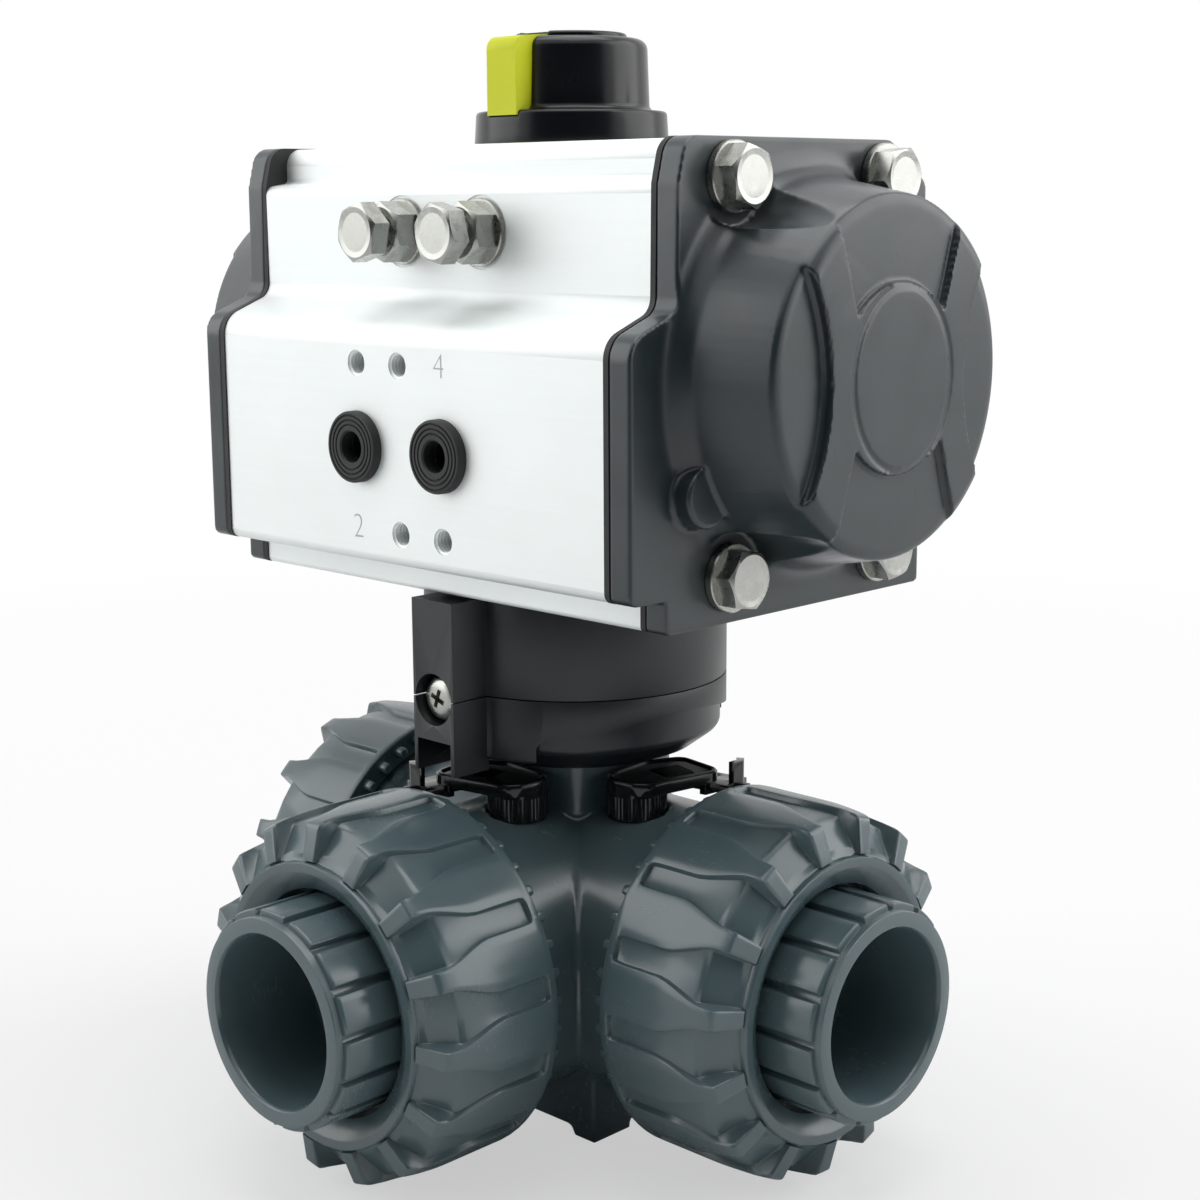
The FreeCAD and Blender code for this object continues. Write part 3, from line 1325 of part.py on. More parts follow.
def make_pinion_fittings():
    washer_low = above_base("body_height + face_gap")
    washer = cylinder("ThrustDisc", "thrust_washer_radius", "thrust_washer_thickness",
                      ("0", "0", washer_low))
    keep("pinion_thrust_washer", cut("ThrustWasher", washer, cylinder(
        "ThrustHole", "pinion_shaft_radius + fixed_gap", "thrust_washer_thickness",
        ("0", "0", washer_low))))
    clip_low = above_base("body_height + face_gap + thrust_washer_thickness + 2 * running_gap + fixed_gap")
    clip = cut("ClipRing", cylinder("ClipDisc", "circlip_radius", "circlip_thickness",
                                    ("0", "0", clip_low)),
               cylinder("ClipHole", "pinion_shaft_radius - circlip_groove + running_gap",
                        "circlip_thickness", ("0", "0", clip_low)),
               box("ClipGap", ("-circlip_mouth / 2", "0", clip_low),
                   ("circlip_mouth", "circlip_radius + 1", "circlip_thickness")))
    keep("pinion_circlip", clip)


# End caps: a plate that follows the body profile, a hollow dome and a relief on its face

def cap_outline():
    return profile_corners([
        ("back_width", above_base("upper_height"), "cap_side_round"),
        ("roof_half_width - cap_top_inset", above_base("cap_top"), "cap_top_round"),
        ("-upper_front + cap_front_inset", above_base("cap_top"), "cap_top_round"),
        ("-upper_front", above_base("upper_height"), "upper_round"),
    ], "cap_inset")


def relief_floor(depth):
    """The dome below a recess in its face, with the recess's own rounded rim."""
    floor = f"(dome_reach - {depth})"
    root = f"({floor} - 2 * relief_rim_round)"
    wide = "(dome_tip_radius + relief_rim_room)"
    return turned("ReliefFloor", (
        ("0", root), (wide, root), (wide, floor, "relief_rim_round"), ("0", floor),
    ), ("0", "0", above_base("bore_height")), "+x")


def face_relief():
    """Recesses that run out over the dome's rim: a lens on each side and a notch above and below."""
    centre_z = above_base("bore_height")
    start = "dome_reach - lens_depth - 2 * relief_rim_round"
    tools = []
    for sign in ("", "-"):
        arc = cylinder("LensArc", "lens_arc_radius", "lens_depth + 2 * relief_rim_round + 1",
                       (start, f"{sign}(lens_inner + lens_arc_radius)", centre_z), "+x")
        tools.append(cut("Lens", arc, relief_floor("lens_depth")))
    for sign in ("+", "-"):
        wedge = padded("NotchWedge", "YZ_Plane", tuple(
            (f"{side} {half}", above_base(f"bore_height {sign} {rise}"))
            for side, half, rise in (("-", "notch_low_half", "notch_low_rise"),
                                     ("", "notch_low_half", "notch_low_rise"),
                                     ("", "notch_high_half", "notch_high_rise"),
                                     ("-", "notch_high_half", "notch_high_rise"))
        ), "notch_depth + 2 * relief_rim_round + 1", "dome_reach - notch_depth - 2 * relief_rim_round")
        tools.append(cut("Notch", wedge, relief_floor("notch_depth"),
                         cylinder("NotchInner", "notch_inner_radius", "dome_reach",
                                  ("dome_reach / 2", "0", centre_z), "+x")))
    return tools


def make_end_cap():
    inner = "(body_half_length + gasket_thickness)"
    outer = f"({inner} + cap_plate)"
    skirt = "(dome_base_radius + 2 * dome_fillet)"
    room_end = "(dome_reach - lens_depth - dome_wall)"
    centre = ("0", "0", above_base("bore_height"))
    plate = padded("CapPlate", "YZ_Plane", cap_outline(), "cap_plate", inner)
    dome = shared("CapDome", turned("CapDomeBlank", (
        ("0", f"{outer} - 1"), (skirt, f"{outer} - 1"), (skirt, outer),
        ("dome_base_radius", outer, "dome_fillet"), ("dome_tip_radius", "dome_reach", "dome_edge"),
        ("0", "dome_reach"),
    ), centre, "+x"), padded("CapDomeField", "YZ_Plane", cap_outline(), "dome_reach", inner))
    scallops = [cylinder("CapScallop", "scallop_radius", "dome_reach", (outer, hole_y, hole_z), "+x")
                for hole_y, hole_z in cap_screw_places()]
    holes = [cylinder("CapHole", "cap_screw_radius + cap_screw_hole_gap", "cap_plate + 2",
                      (f"{inner} - 1", hole_y, hole_z), "+x")
             for hole_y, hole_z in cap_screw_places()]
    room = turned("CapRoom", (
        ("0", f"{inner} - 1"), ("dome_inner_radius + dome_inner_draft", f"{inner} - 1"),
        ("dome_inner_radius", room_end, "dome_inner_round"), ("0", room_end),
    ), centre, "+x")
    boss = shared("AirBoss", cylinder("AirBossBlank", "air_boss_radius", "cap_plate + air_boss_proud",
                                      (inner, "-air_boss_across",
                                       above_base("bore_height - air_boss_drop")), "+x"),
                  cylinder("AirBossField", skirt, "cap_plate + air_boss_proud",
                           (inner, "0", above_base("bore_height")), "+x"))
    solid = joined("CapSolid", plate, cut("CapDomeOpen", dome, *scallops), boss)
    return keep("end_cap_right", cut("EndCap", solid, room, *holes, *face_relief()))


def make_end_caps():
    right = make_end_cap()
    keep("end_cap_left", mirrored("EndCapLeft", right, Vector(1, 0, 0)))
    bore = cylinder("GasketBore", "cylinder_radius", "gasket_thickness + 2",
                    ("body_half_length - 1", "0", above_base("bore_height")), "+x")
    holes = [cylinder("GasketHole", "cap_screw_radius + cap_screw_hole_gap", "gasket_thickness + 2",
                      ("body_half_length - 1", hole_y, hole_z), "+x")
             for hole_y, hole_z in cap_screw_places()]
    gasket = cut("Gasket", padded("GasketPlate", "YZ_Plane", cap_outline(), "gasket_thickness",
                                  "body_half_length"), bore, *holes)
    keep("cap_gasket_right", gasket)
    keep("cap_gasket_left", mirrored("GasketLeft", gasket, Vector(1, 0, 0)))


def make_cap_screws():
    seat = "(body_half_length + gasket_thickness + cap_plate)"
    screws, washers = [], []
    for sign, along in (("", "+x"), ("-", "-x")):
        for index, (hole_y, hole_z) in enumerate(cap_screw_places()):
            at = (f"{sign}{seat}", hole_y, hole_z)
            washers.append(cut("CapWasher", cylinder("CapWasherDisc", "cap_washer_radius",
                                                     "cap_washer_thickness", at, along),
                               cylinder("CapWasherHole", "cap_screw_radius + loose_gap",
                                        "cap_washer_thickness + 1", at, along)))
            head_at = (f"{sign}({seat} + cap_washer_thickness)", hole_y, hole_z)
            head = hexagon("CapHead", "cap_screw_across", "cap_screw_head", head_at, along,
                           amount_of(f"cap_screw_first_turn + cap_screw_turn_step * {index}"))
            shank = cylinder("CapShank", "cap_screw_radius", "cap_screw_length",
                             (f"{sign}({seat} + cap_washer_thickness - cap_screw_length + 1)",
                              hole_y, hole_z), along)
            screws.append(joined("CapScrew", head, shank))
    keep("cap_screws", group("CapScrews", *screws))
    keep("cap_screw_washers", group("CapWashers", *washers))


# Position indicator on top of the pinion

def make_indicator():
    low = "(body_height + indicator_lift)"
    room = "(thrust_washer_radius + face_gap)"
    room_top = f"({low} + indicator_room_height)"
    base_top = f"({low} + indicator_base_height)"
    cap_top = f"({base_top} + indicator_cap_height)"
    shaft = "(pinion_shaft_radius + fixed_gap)"
    groove = "(indicator_disc_radius + disc_groove_width)"
    place = ("0", "0", above_base("0"))
    flag_low = f"({base_top} - flag_seat)"
    flange = turned("IndicatorFlange", (
        (room, low), ("indicator_base_radius", low),
        ("indicator_base_radius - indicator_base_taper", base_top, "indicator_base_edge"),
        (shaft, base_top), (shaft, room_top), (room, room_top),
    ), place)
    seat = box("FlagSeat", ("-flag_half_width - fixed_gap", "-indicator_base_radius - 1",
                            above_base(f"{flag_low} - face_gap")),
               ("2 * (flag_half_width + fixed_gap)", "indicator_base_radius + 1 - flag_inner + fixed_gap",
                "2 * flag_seat"))
    keep("indicator_base", cut("IndicatorBase", flange, seat))
    cap = turned("IndicatorCapBlank", (
        (shaft, base_top), ("indicator_cap_radius", base_top),
        ("indicator_cap_radius - indicator_cap_taper", cap_top, "indicator_edge"),
        (groove, cap_top), (groove, f"{cap_top} - disc_groove_depth"),
        ("indicator_disc_radius", f"{cap_top} - disc_groove_depth"),
        ("indicator_disc_radius", f"{cap_top} + indicator_disc_height", "indicator_disc_edge"),
        ("0", f"{cap_top} + indicator_disc_height"), ("0", "body_height + pinion_proud + face_gap"),
        (shaft, "body_height + pinion_proud + face_gap"),
    ), place)
    window = box("FlagWindow", ("-flag_half_width - fixed_gap", "-flag_reach - 1",
                                above_base(f"{base_top} - 1")),
                 ("2 * (flag_half_width + fixed_gap)", "flag_reach + 1 - flag_inner + fixed_gap",
                  "indicator_cap_height + indicator_disc_height + 2"))
    keep("indicator_cap", cut("IndicatorCap", cap, window))
    flag = padded("IndicatorFlagSide", "YZ_Plane", (
        ("-flag_inner", above_base(flag_low)), ("-flag_inner", above_base(f"{cap_top} + flag_lift")),
        ("-flag_reach", above_base(f"{cap_top} - flag_tip_drop"), "flag_round"),
        ("-flag_reach", above_base(flag_low)),
    ), "2 * flag_half_width", "-flag_half_width")
    core = cylinder("FlagCore", shaft, "body_height + pinion_proud + face_gap", place)
    return keep("indicator_flag", cut("IndicatorFlag", flag, core))


def check_and_write():
    """Stop on any failed feature or unsound piece, then write one file for each node."""
    document.recompute()
    for item in document.Objects:
        if "Invalid" in item.State or "Error" in item.State:
            raise RuntimeError(f"{item.Name} failed: {item.State}")
    for item in nodes:
        if item.Shape.isNull() or not item.Shape.isValid() or not item.Shape.Solids:
            raise RuntimeError(f"{item.Label} is not a sound solid")
    os.makedirs("parts", exist_ok=True)
    for item in nodes:
        item.Shape.exportStep(os.path.join("parts", item.Label + ".step"))
        bounds = item.Shape.BoundBox
        print(f"{item.Label}: {len(item.Shape.Solids)} solid, {item.Shape.Volume / 1000:.2f} cm3, "
              f"x {bounds.XMin:.1f} {bounds.XMax:.1f}, y {bounds.YMin:.1f} {bounds.YMax:.1f}, "
              f"z {bounds.ZMin:.1f} {bounds.ZMax:.1f}")


make_valve_body()
make_foot_inserts()
make_ball()
make_stem()
make_stem_seals()
make_seats()
make_carriers()
make_union_seals()
for port_name, direction, nut_spin in PORTS:
    make_union_nut(port_name, direction, nut_spin)
    make_end_connector(port_name, direction)
make_levers()
make_module_lower()
make_module_upper()
make_module_screws()
make_coupling()
make_actuator_body()
make_port_rings()
make_stops()
make_pistons()
make_pinion()
make_stop_cam()
make_pinion_fittings()
make_end_caps()
make_cap_screws()
make_indicator()
check_and_write()
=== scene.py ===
"""Three-way union ball valve with a rack-and-pinion air actuator: the look of every piece.

Sizes in the classes are millimetres, as on a drawing, and MM turns them into the scene's metres.
Each class makes one sub-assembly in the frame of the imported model, +Z up, with the run ports
along +X and -X, the branch port along -Y and the origin under the foot on the stem's axis.
"""

import json
import logging
import math
from collections.abc import Callable, Iterable, Sequence
from dataclasses import dataclass, field
from enum import Enum
from functools import cache

import bmesh
import bpy
from mathutils import Matrix, Vector


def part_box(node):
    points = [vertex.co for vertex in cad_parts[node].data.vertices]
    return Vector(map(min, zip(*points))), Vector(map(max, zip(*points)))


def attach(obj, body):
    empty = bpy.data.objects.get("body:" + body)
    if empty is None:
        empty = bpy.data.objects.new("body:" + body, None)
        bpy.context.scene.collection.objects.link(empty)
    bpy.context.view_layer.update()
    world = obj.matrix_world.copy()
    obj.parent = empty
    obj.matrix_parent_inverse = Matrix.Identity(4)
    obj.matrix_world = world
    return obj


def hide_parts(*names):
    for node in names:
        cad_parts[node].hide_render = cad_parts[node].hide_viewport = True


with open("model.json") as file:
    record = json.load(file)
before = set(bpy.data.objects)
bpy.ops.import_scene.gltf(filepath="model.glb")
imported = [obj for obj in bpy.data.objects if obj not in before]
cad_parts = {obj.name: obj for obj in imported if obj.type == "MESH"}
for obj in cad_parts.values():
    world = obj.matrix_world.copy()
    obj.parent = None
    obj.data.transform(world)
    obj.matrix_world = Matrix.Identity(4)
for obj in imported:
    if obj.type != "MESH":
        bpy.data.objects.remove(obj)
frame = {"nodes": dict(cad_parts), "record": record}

MM = 0.001
FULL_TURN = 2 * math.pi
WHITE = (1.0, 1.0, 1.0, 1.0)
PLANE_LIMIT = 0.99999
CAP_PLATE = 5.0
AIR_PORT_RISE = 28.5
AIR_PORT_SPACING = 24.0
HEAD_CONE = 30.0
HEAD_DISH_SHARE = 0.78
log = logging.getLogger("valve")

Point = tuple[float, float]
Colour = tuple[float, float, float]
Mesh = bpy.types.Mesh
Object = bpy.types.Object
Socket = bpy.types.NodeSocket


class Body(Enum):
    """The moving groups that pieces ride on."""

    HOUSING = "housing"
    DRIVE = "drive"


class Port(Enum):
    """The valve's three ways out: name, turn from +Z to the port's direction, turn of its ribs."""

    RIGHT = ("right", ("Y", 90.0), -3.0)
    LEFT = ("left", ("Y", -90.0), 3.0)
    BRANCH = ("branch", ("X", 90.0), -51.0)

    @property
    def label(self) -> str:
        """The port's name, as the nodes carry it."""
        return self.value[0]

    @property
    def spin(self) -> float:
        """The turn of the union nut's ribs about the port, in degrees."""
        return self.value[2]

    def place(self, spin: float) -> Matrix:
        """The place of a piece that is drawn along +Z from the centre of the valve.

        Args:
            spin: turn about the piece's own axis, in degrees.

        Returns:
            The matrix from the piece's own axes to the valve's.
        """
        axis, angle = self.value[1]
        return Matrix.Translation((0, 0, DATUM.port_axis)) @ turn(axis, angle) @ turn("Z", spin)


class Side(Enum):
    """The two ends of the actuator."""

    RIGHT = 1
    LEFT = -1

    @property
    def label(self) -> str:
        """The end's name, as the nodes carry it."""
        return self.name.lower()


@dataclass(frozen=True)
class Datum:
    """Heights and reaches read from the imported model, in metres."""

    port_axis: float
    deck: float
    bore_axis: float
    cap_seat: float
    front: float

    @classmethod
    def from_frame(cls) -> "Datum":
        """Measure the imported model's own nodes.

        Returns:
            The heights and reaches that the classes build on.
        """
        socket_low, socket_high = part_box("end_connector_right")
        body_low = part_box("actuator_body")[0]
        cap_low, cap_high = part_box("cap_screw_washers")
        return cls(
            port_axis=(socket_low.z + socket_high.z) / 2,
            deck=body_low.z,
            bore_axis=(cap_low.z + cap_high.z) / 2,
            cap_seat=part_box("cap_gasket_right")[1].x + CAP_PLATE * MM,
            front=body_low.y,
        )


DATUM = Datum.from_frame()


# Outlines and meshes

def rounded(corners: Sequence[tuple[float, ...]], steps: int = 4, closed: bool = True) -> list[Point]:
    """Outline with the corners that name a radius rounded off.

    Args:
        corners: (x, y) or (x, y, radius) for each corner, in order.
        steps: straight pieces in each rounding.
        closed: whether the last corner joins the first.

    Returns:
        The points of the outline.
    """
    points: list[Point] = []
    count = len(corners)
    for index, corner in enumerate(corners):
        spot = Vector(corner[:2])
        radius = corner[2] if len(corner) > 2 else 0.0
        at_end = not closed and index in (0, count - 1)
        if not radius or at_end:
            points.append((spot.x, spot.y))
            continue
        inward = (Vector(corners[index - 1][:2]) - spot).normalized()
        outward = (Vector(corners[(index + 1) % count][:2]) - spot).normalized()
        half = inward.angle(outward) / 2
        reach = radius / math.tan(half)
        centre = spot + (inward + outward).normalized() * (radius / math.sin(half))
        first = spot + inward * reach - centre
        swing = math.pi - 2 * half
        if inward.x * outward.y - inward.y * outward.x > 0:
            swing = -swing
        for step in range(steps + 1):
            angle = swing * step / steps
            points.append((centre.x + first.x * math.cos(angle) - first.y * math.sin(angle),
                           centre.y + first.x * math.sin(angle) + first.y * math.cos(angle)))
    return points


def mesh_from(name: str, points: Iterable[Sequence[float]], faces: Iterable[Sequence[int]]) -> Mesh:
    """A mesh in metres, with doubles merged and faces outward.

    Args:
        name: the mesh's name.
        points: the points, in millimetres.
        faces: the point numbers of each face.

    Returns:
        The mesh.
    """
    mesh = bpy.data.meshes.new(name)
    mesh.from_pydata([[value * MM for value in point] for point in points], [], list(map(list, faces)))
    return tidied(mesh)


def tidied(mesh: Mesh, merge: float = 0.002) -> Mesh:
    """Merge doubles, drop empty faces and turn every face outward.

    Args:
        mesh: the mesh to mend in place.
        merge: largest gap that is closed, in millimetres.

    Returns:
        The same mesh.
    """
    work = bmesh.new()
    work.from_mesh(mesh)
    bmesh.ops.remove_doubles(work, verts=work.verts, dist=merge * MM)
    bmesh.ops.dissolve_degenerate(work, edges=work.edges, dist=merge * MM / 4)
    bmesh.ops.recalc_face_normals(work, faces=work.faces)
    work.to_mesh(mesh)
    work.free()
    return mesh


def grid_faces(rows: int, across: int, close_rows: bool = True,
               close_across: bool = True) -> list[tuple[int, ...]]:
    """Four-sided faces between the neighbours of a grid of points that is listed row by row.

    Args:
        rows: number of rows.
        across: points in each row.
        close_rows: whether the last row joins the first.
        close_across: whether the last point of each row joins its first.

    Returns:
        The point numbers of each face.
    """
    faces = []
    for row in range(rows if close_rows else rows - 1):
        here, there = row * across, (row + 1) % rows * across
        for step in range(across if close_across else across - 1):
            after = (step + 1) % across
            faces.append((here + step, here + after, there + after, there + step))
    return faces


def lathe(name: str, profile: Sequence[Point], segments: int = 96, closed: bool = True) -> Mesh:
    """A body of revolution about +Z.

    Args:
        name: the mesh's name.
        profile: (radius, height) of each point of the section.
        segments: flats round the axis.
        closed: whether the section is a closed loop that leaves the axis free.

    Returns:
        The mesh, in metres.
    """
    points = []
    for step in range(segments):
        angle = FULL_TURN * step / segments
        points += [(radius * math.cos(angle), radius * math.sin(angle), height)
                   for radius, height in profile]
    return mesh_from(name, points, grid_faces(segments, len(profile), close_across=closed))


def oblong(across: float, up: float) -> list[Point]:
    """The corners of a rectangle round the origin, from its half sizes."""
    return [(-across, -up), (across, -up), (across, up), (-across, up)]


def prism(name: str, outline: Sequence[Point], low: float, high: float) -> Mesh:
    """A straight extrusion of an outline in the XY plane.

    Args:
        name: the mesh's name.
        outline: the corners in order, in millimetres.
        low: height of the bottom face.
        high: height of the top face.

    Returns:
        The mesh, in metres.
    """
    count = len(outline)
    points = [(x, y, z) for z in (low, high) for x, y in outline]
    faces = grid_faces(2, count, close_rows=False)
    ends = [tuple(range(count - 1, -1, -1)), tuple(range(count, 2 * count))]
    return mesh_from(name, points, faces + ends)


def moved(mesh: Mesh, matrix: Matrix) -> Mesh:
    """Move a mesh's own points.

    Args:
        mesh: the mesh to move in place.
        matrix: the move, turn or mirror.

    Returns:
        The same mesh, with its faces still outward.
    """
    mesh.transform(matrix)
    if matrix.determinant() < 0:
        mesh.flip_normals()
    return mesh


def shift(x: float = 0.0, y: float = 0.0, z: float = 0.0) -> Matrix:
    """A move given in millimetres."""
    return Matrix.Translation((x * MM, y * MM, z * MM))


def turn(axis: str, degrees: float) -> Matrix:
    """A turn about one of the main axes."""
    return Matrix.Rotation(math.radians(degrees), 4, axis)


def front_spot(across: float, sink: float, rise: float) -> Matrix:
    """A move to a place on the front face of the actuator.

    Args:
        across: place along X.
        sink: how far behind the face it lies.
        rise: height above the underside of the actuator's body.

    Returns:
        The move.
    """
    return Matrix.Translation((across * MM, DATUM.front + sink * MM, DATUM.deck + rise * MM))


def joined(name: str, meshes: Sequence[Mesh]) -> Mesh:
    """One mesh that holds all the given ones.

    Args:
        name: the new mesh's name.
        meshes: the meshes to put together.

    Returns:
        The new mesh.
    """
    work = bmesh.new()
    for mesh in meshes:
        work.from_mesh(mesh)
    result = bpy.data.meshes.new(name)
    work.to_mesh(result)
    work.free()
    return result


def shown(name: str, data: bpy.types.ID) -> Object:
    """Put a mesh, outline, lamp or camera into the scene.

    Args:
        name: the new object's name.
        data: what it shows.

    Returns:
        The new object, at the origin.
    """
    item = bpy.data.objects.new(name, data)
    bpy.context.scene.collection.objects.link(item)
    return item


def frozen(host: Object) -> Mesh:
    """Take the plain mesh that an object's modifiers or outline give, and drop the object.

    Args:
        host: the object to evaluate.

    Returns:
        The plain mesh.
    """
    bpy.context.view_layer.update()
    final = host.evaluated_get(bpy.context.evaluated_depsgraph_get())
    result = bpy.data.meshes.new_from_object(final)
    bpy.data.objects.remove(host)
    return result


def evaluated(mesh: Mesh, *setups: Callable[[Object], None]) -> Mesh:
    """Run modifiers on a mesh and keep only their result.

    Args:
        mesh: the mesh to start from.
        setups: calls that each add modifiers to the object they are given.

    Returns:
        A plain mesh.
    """
    host = shown(mesh.name + "_host", mesh)
    for setup in setups:
        setup(host)
    return frozen(host)


def carved(mesh: Mesh, tool: Mesh) -> Mesh:
    """A mesh with another one cut out of it.

    Args:
        mesh: the mesh to cut.
        tool: the closed mesh that is taken away.

    Returns:
        A plain mesh.
    """
    knife = shown("Knife", tool)

    def setup(host: Object) -> None:
        """Add the cut to the host.

        Args:
            host: the object that is cut.
        """
        modifier = host.modifiers.new("Cut", "BOOLEAN")
        modifier.operation = "DIFFERENCE"
        modifier.solver = "EXACT"
        modifier.object = knife
    result = evaluated(mesh, setup)
    bpy.data.objects.remove(knife)
    return result


def bevel(width: float, segments: int = 2, angle: float = 35.0) -> Callable[[Object], None]:
    """A modifier that rounds the edges sharper than an angle.

    Args:
        width: width of the rounding in millimetres.
        segments: flats across the rounding.
        angle: least turn of an edge that is rounded, in degrees.

    Returns:
        The call that adds the modifier.
    """
    def setup(host: Object) -> None:
        """Add the rounding to the host.

        Args:
            host: the object whose edges are rounded.
        """
        modifier = host.modifiers.new("Edges", "BEVEL")
        modifier.width = width * MM
        modifier.segments = segments
        modifier.limit_method = "ANGLE"
        modifier.angle_limit = math.radians(angle)
    return setup


def softened(voxel: float, passes: int, keep: float) -> Callable[[Object], None]:
    """Modifiers that give a casting's rounded inner and outer corners.

    Args:
        voxel: size of the new even grid in millimetres.
        passes: smoothing passes after it.
        keep: share of the faces to keep at the end.

    Returns:
        The call that adds the modifiers.
    """
    def setup(host: Object) -> None:
        """Add the even grid, the smoothing and the thinning to the host.

        Args:
            host: the object that is softened.
        """
        grid = host.modifiers.new("Grid", "REMESH")
        grid.mode = "VOXEL"
        grid.voxel_size = voxel * MM
        smooth = host.modifiers.new("Smooth", "SMOOTH")
        smooth.factor = 0.5
        smooth.iterations = passes
        host.modifiers.new("Fewer", "DECIMATE").ratio = keep
    return setup


def node_twin(node: str) -> Mesh:
    """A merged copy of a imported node's mesh, ready for finer work."""
    return tidied(frame["nodes"][node].data.copy())


def shaded(mesh: Mesh, sharp_angle: float, flat_area: float) -> Mesh:
    """Shade smooth except on plane faces and across sharp edges.

    Args:
        mesh: the mesh to shade in place.
        sharp_angle: least turn of a sharp edge, in degrees.
        flat_area: least size in square millimetres of a level or upright face that is shaded flat.

    Returns:
        The same mesh.
    """
    mesh.set_sharp_from_angle(angle=math.radians(sharp_angle))
    mesh.polygons.foreach_set("use_smooth", [
        polygon.area < flat_area * MM * MM or max(map(abs, polygon.normal)) < PLANE_LIMIT
        for polygon in mesh.polygons])
    return mesh


# Node graphs

class Graph:
    """A node graph in the making."""

    def __init__(self, tree: bpy.types.NodeTree) -> None:
        """Keep the tree's nodes and links at hand."""
        self.nodes = tree.nodes
        self.links = tree.links

    def fill(self, socket: Socket, value: object) -> None:
        """Join a socket to another one, or set its value.

        Args:
            socket: the input to fill.
            value: a socket to join or a value to set.
        """
        if isinstance(value, bpy.types.NodeSocket):
            self.links.new(value, socket)
        else:
            socket.default_value = value

    def node(self, kind: str, inputs: dict[str | int, object], **settings: object) -> bpy.types.Node:
        """Add a node, set its options and fill its inputs.

        Args:
            kind: the node's type.
            inputs: for each input's name or number, a socket to join or a value to set.
            settings: the node's own options.

        Returns:
            The new node.
        """
        node = self.nodes.new(kind)
        for name, value in settings.items():
            setattr(node, name, value)
        for key, value in inputs.items():
            self.fill(node.inputs[key], value)
        return node

    def maths(self, operation: str, *values: object) -> Socket:
        """The result of one sum on sockets or numbers."""
        return self.node("ShaderNodeMath", dict(enumerate(values)), operation=operation).outputs[0]


# Geometry Nodes trees for what repeats

class PatternTree(Graph):
    """A Geometry Nodes tree in the making, with named inputs for its sizes."""

    def __init__(self, name: str) -> None:
        """Start an empty tree with its geometry sockets.

        Args:
            name: the tree's name.
        """
        self.tree = bpy.data.node_groups.new(name, "GeometryNodeTree")
        super().__init__(self.tree)
        self.tree.is_modifier = True
        self.tree.interface.new_socket("Geometry", in_out="OUTPUT", socket_type="NodeSocketGeometry")
        self.start = self.nodes.new("NodeGroupInput")
        self.end = self.nodes.new("NodeGroupOutput")
        self.piece = self.size("Piece", "NodeSocketGeometry")

    def size(self, label: str, kind: str = "NodeSocketFloat") -> Socket:
        """Add a named input and return its socket inside the tree."""
        self.tree.interface.new_socket(label, in_out="INPUT", socket_type=kind)
        return self.start.outputs[label]

    def finish(self, points: Socket, spin: Socket | None = None) -> bpy.types.NodeTree:
        """Put a copy on each point, realize the copies, close their seams and set the material.

        Args:
            points: where the copies go.
            spin: the turn of each copy, if they are turned.

        Returns:
            The finished tree.
        """
        merge = self.size("Merge Distance")
        material = self.size("Material", "NodeSocketMaterial")
        inputs = {"Points": points, "Instance": self.piece}
        if spin is not None:
            inputs["Rotation"] = spin
        copies = self.node("GeometryNodeInstanceOnPoints", inputs)
        real = self.node("GeometryNodeRealizeInstances", {"Geometry": copies.outputs[0]})
        closed = self.node("GeometryNodeMergeByDistance", {
            "Geometry": real.outputs[0], "Distance": merge})
        dressed = self.node("GeometryNodeSetMaterial", {
            "Geometry": closed.outputs[0], "Material": material})
        self.links.new(dressed.outputs[0], self.end.inputs[0])
        return self.tree


@cache
def ring_tree() -> bpy.types.NodeTree:
    """Copies of a piece evenly round the Z axis: teeth, ribs and lands.

    Returns:
        The tree, which is made once.
    """
    build = PatternTree("RingOfPieces")
    count = build.size("Count", "NodeSocketInt")
    spots = build.node("GeometryNodeMeshLine", {"Count": count, "Offset": (0.0, 0.0, 0.0)})
    number = build.node("GeometryNodeInputIndex", {}).outputs[0]
    angle = build.maths("MULTIPLY", build.maths("DIVIDE", FULL_TURN, count), number)
    spin = build.node("ShaderNodeCombineXYZ", {"Z": angle})
    return build.finish(spots.outputs[0], spin.outputs[0])


@cache
def corner_tree() -> bpy.types.NodeTree:
    """A piece on each corner of a rectangle, each at its own turn: screws as they were tightened.

    Returns:
        The tree, which is made once.
    """
    build = PatternTree("CornerPieces")
    width = build.size("Width")
    height = build.size("Height")
    swing = build.size("Turn Range")
    seed = build.size("Seed", "NodeSocketInt")
    grid = build.node("GeometryNodeMeshGrid", {
        "Size X": width, "Size Y": height, "Vertices X": 2, "Vertices Y": 2})
    spread = build.node("FunctionNodeRandomValue", {2: 0.0, 3: swing, "Seed": seed}, data_type="FLOAT")
    spin = build.node("ShaderNodeCombineXYZ", {"Z": spread.outputs[1]})
    return build.finish(grid.outputs[0], spin.outputs[0])


@cache
def row_tree() -> bpy.types.NodeTree:
    """Copies of a piece in a straight row: thread crests and grip bars.

    Returns:
        The tree, which is made once.
    """
    build = PatternTree("RowOfPieces")
    count = build.size("Count", "NodeSocketInt")
    step = build.size("Step", "NodeSocketVector")
    spots = build.node("GeometryNodeMeshLine", {"Count": count, "Offset": step})
    return build.finish(spots.outputs[0])


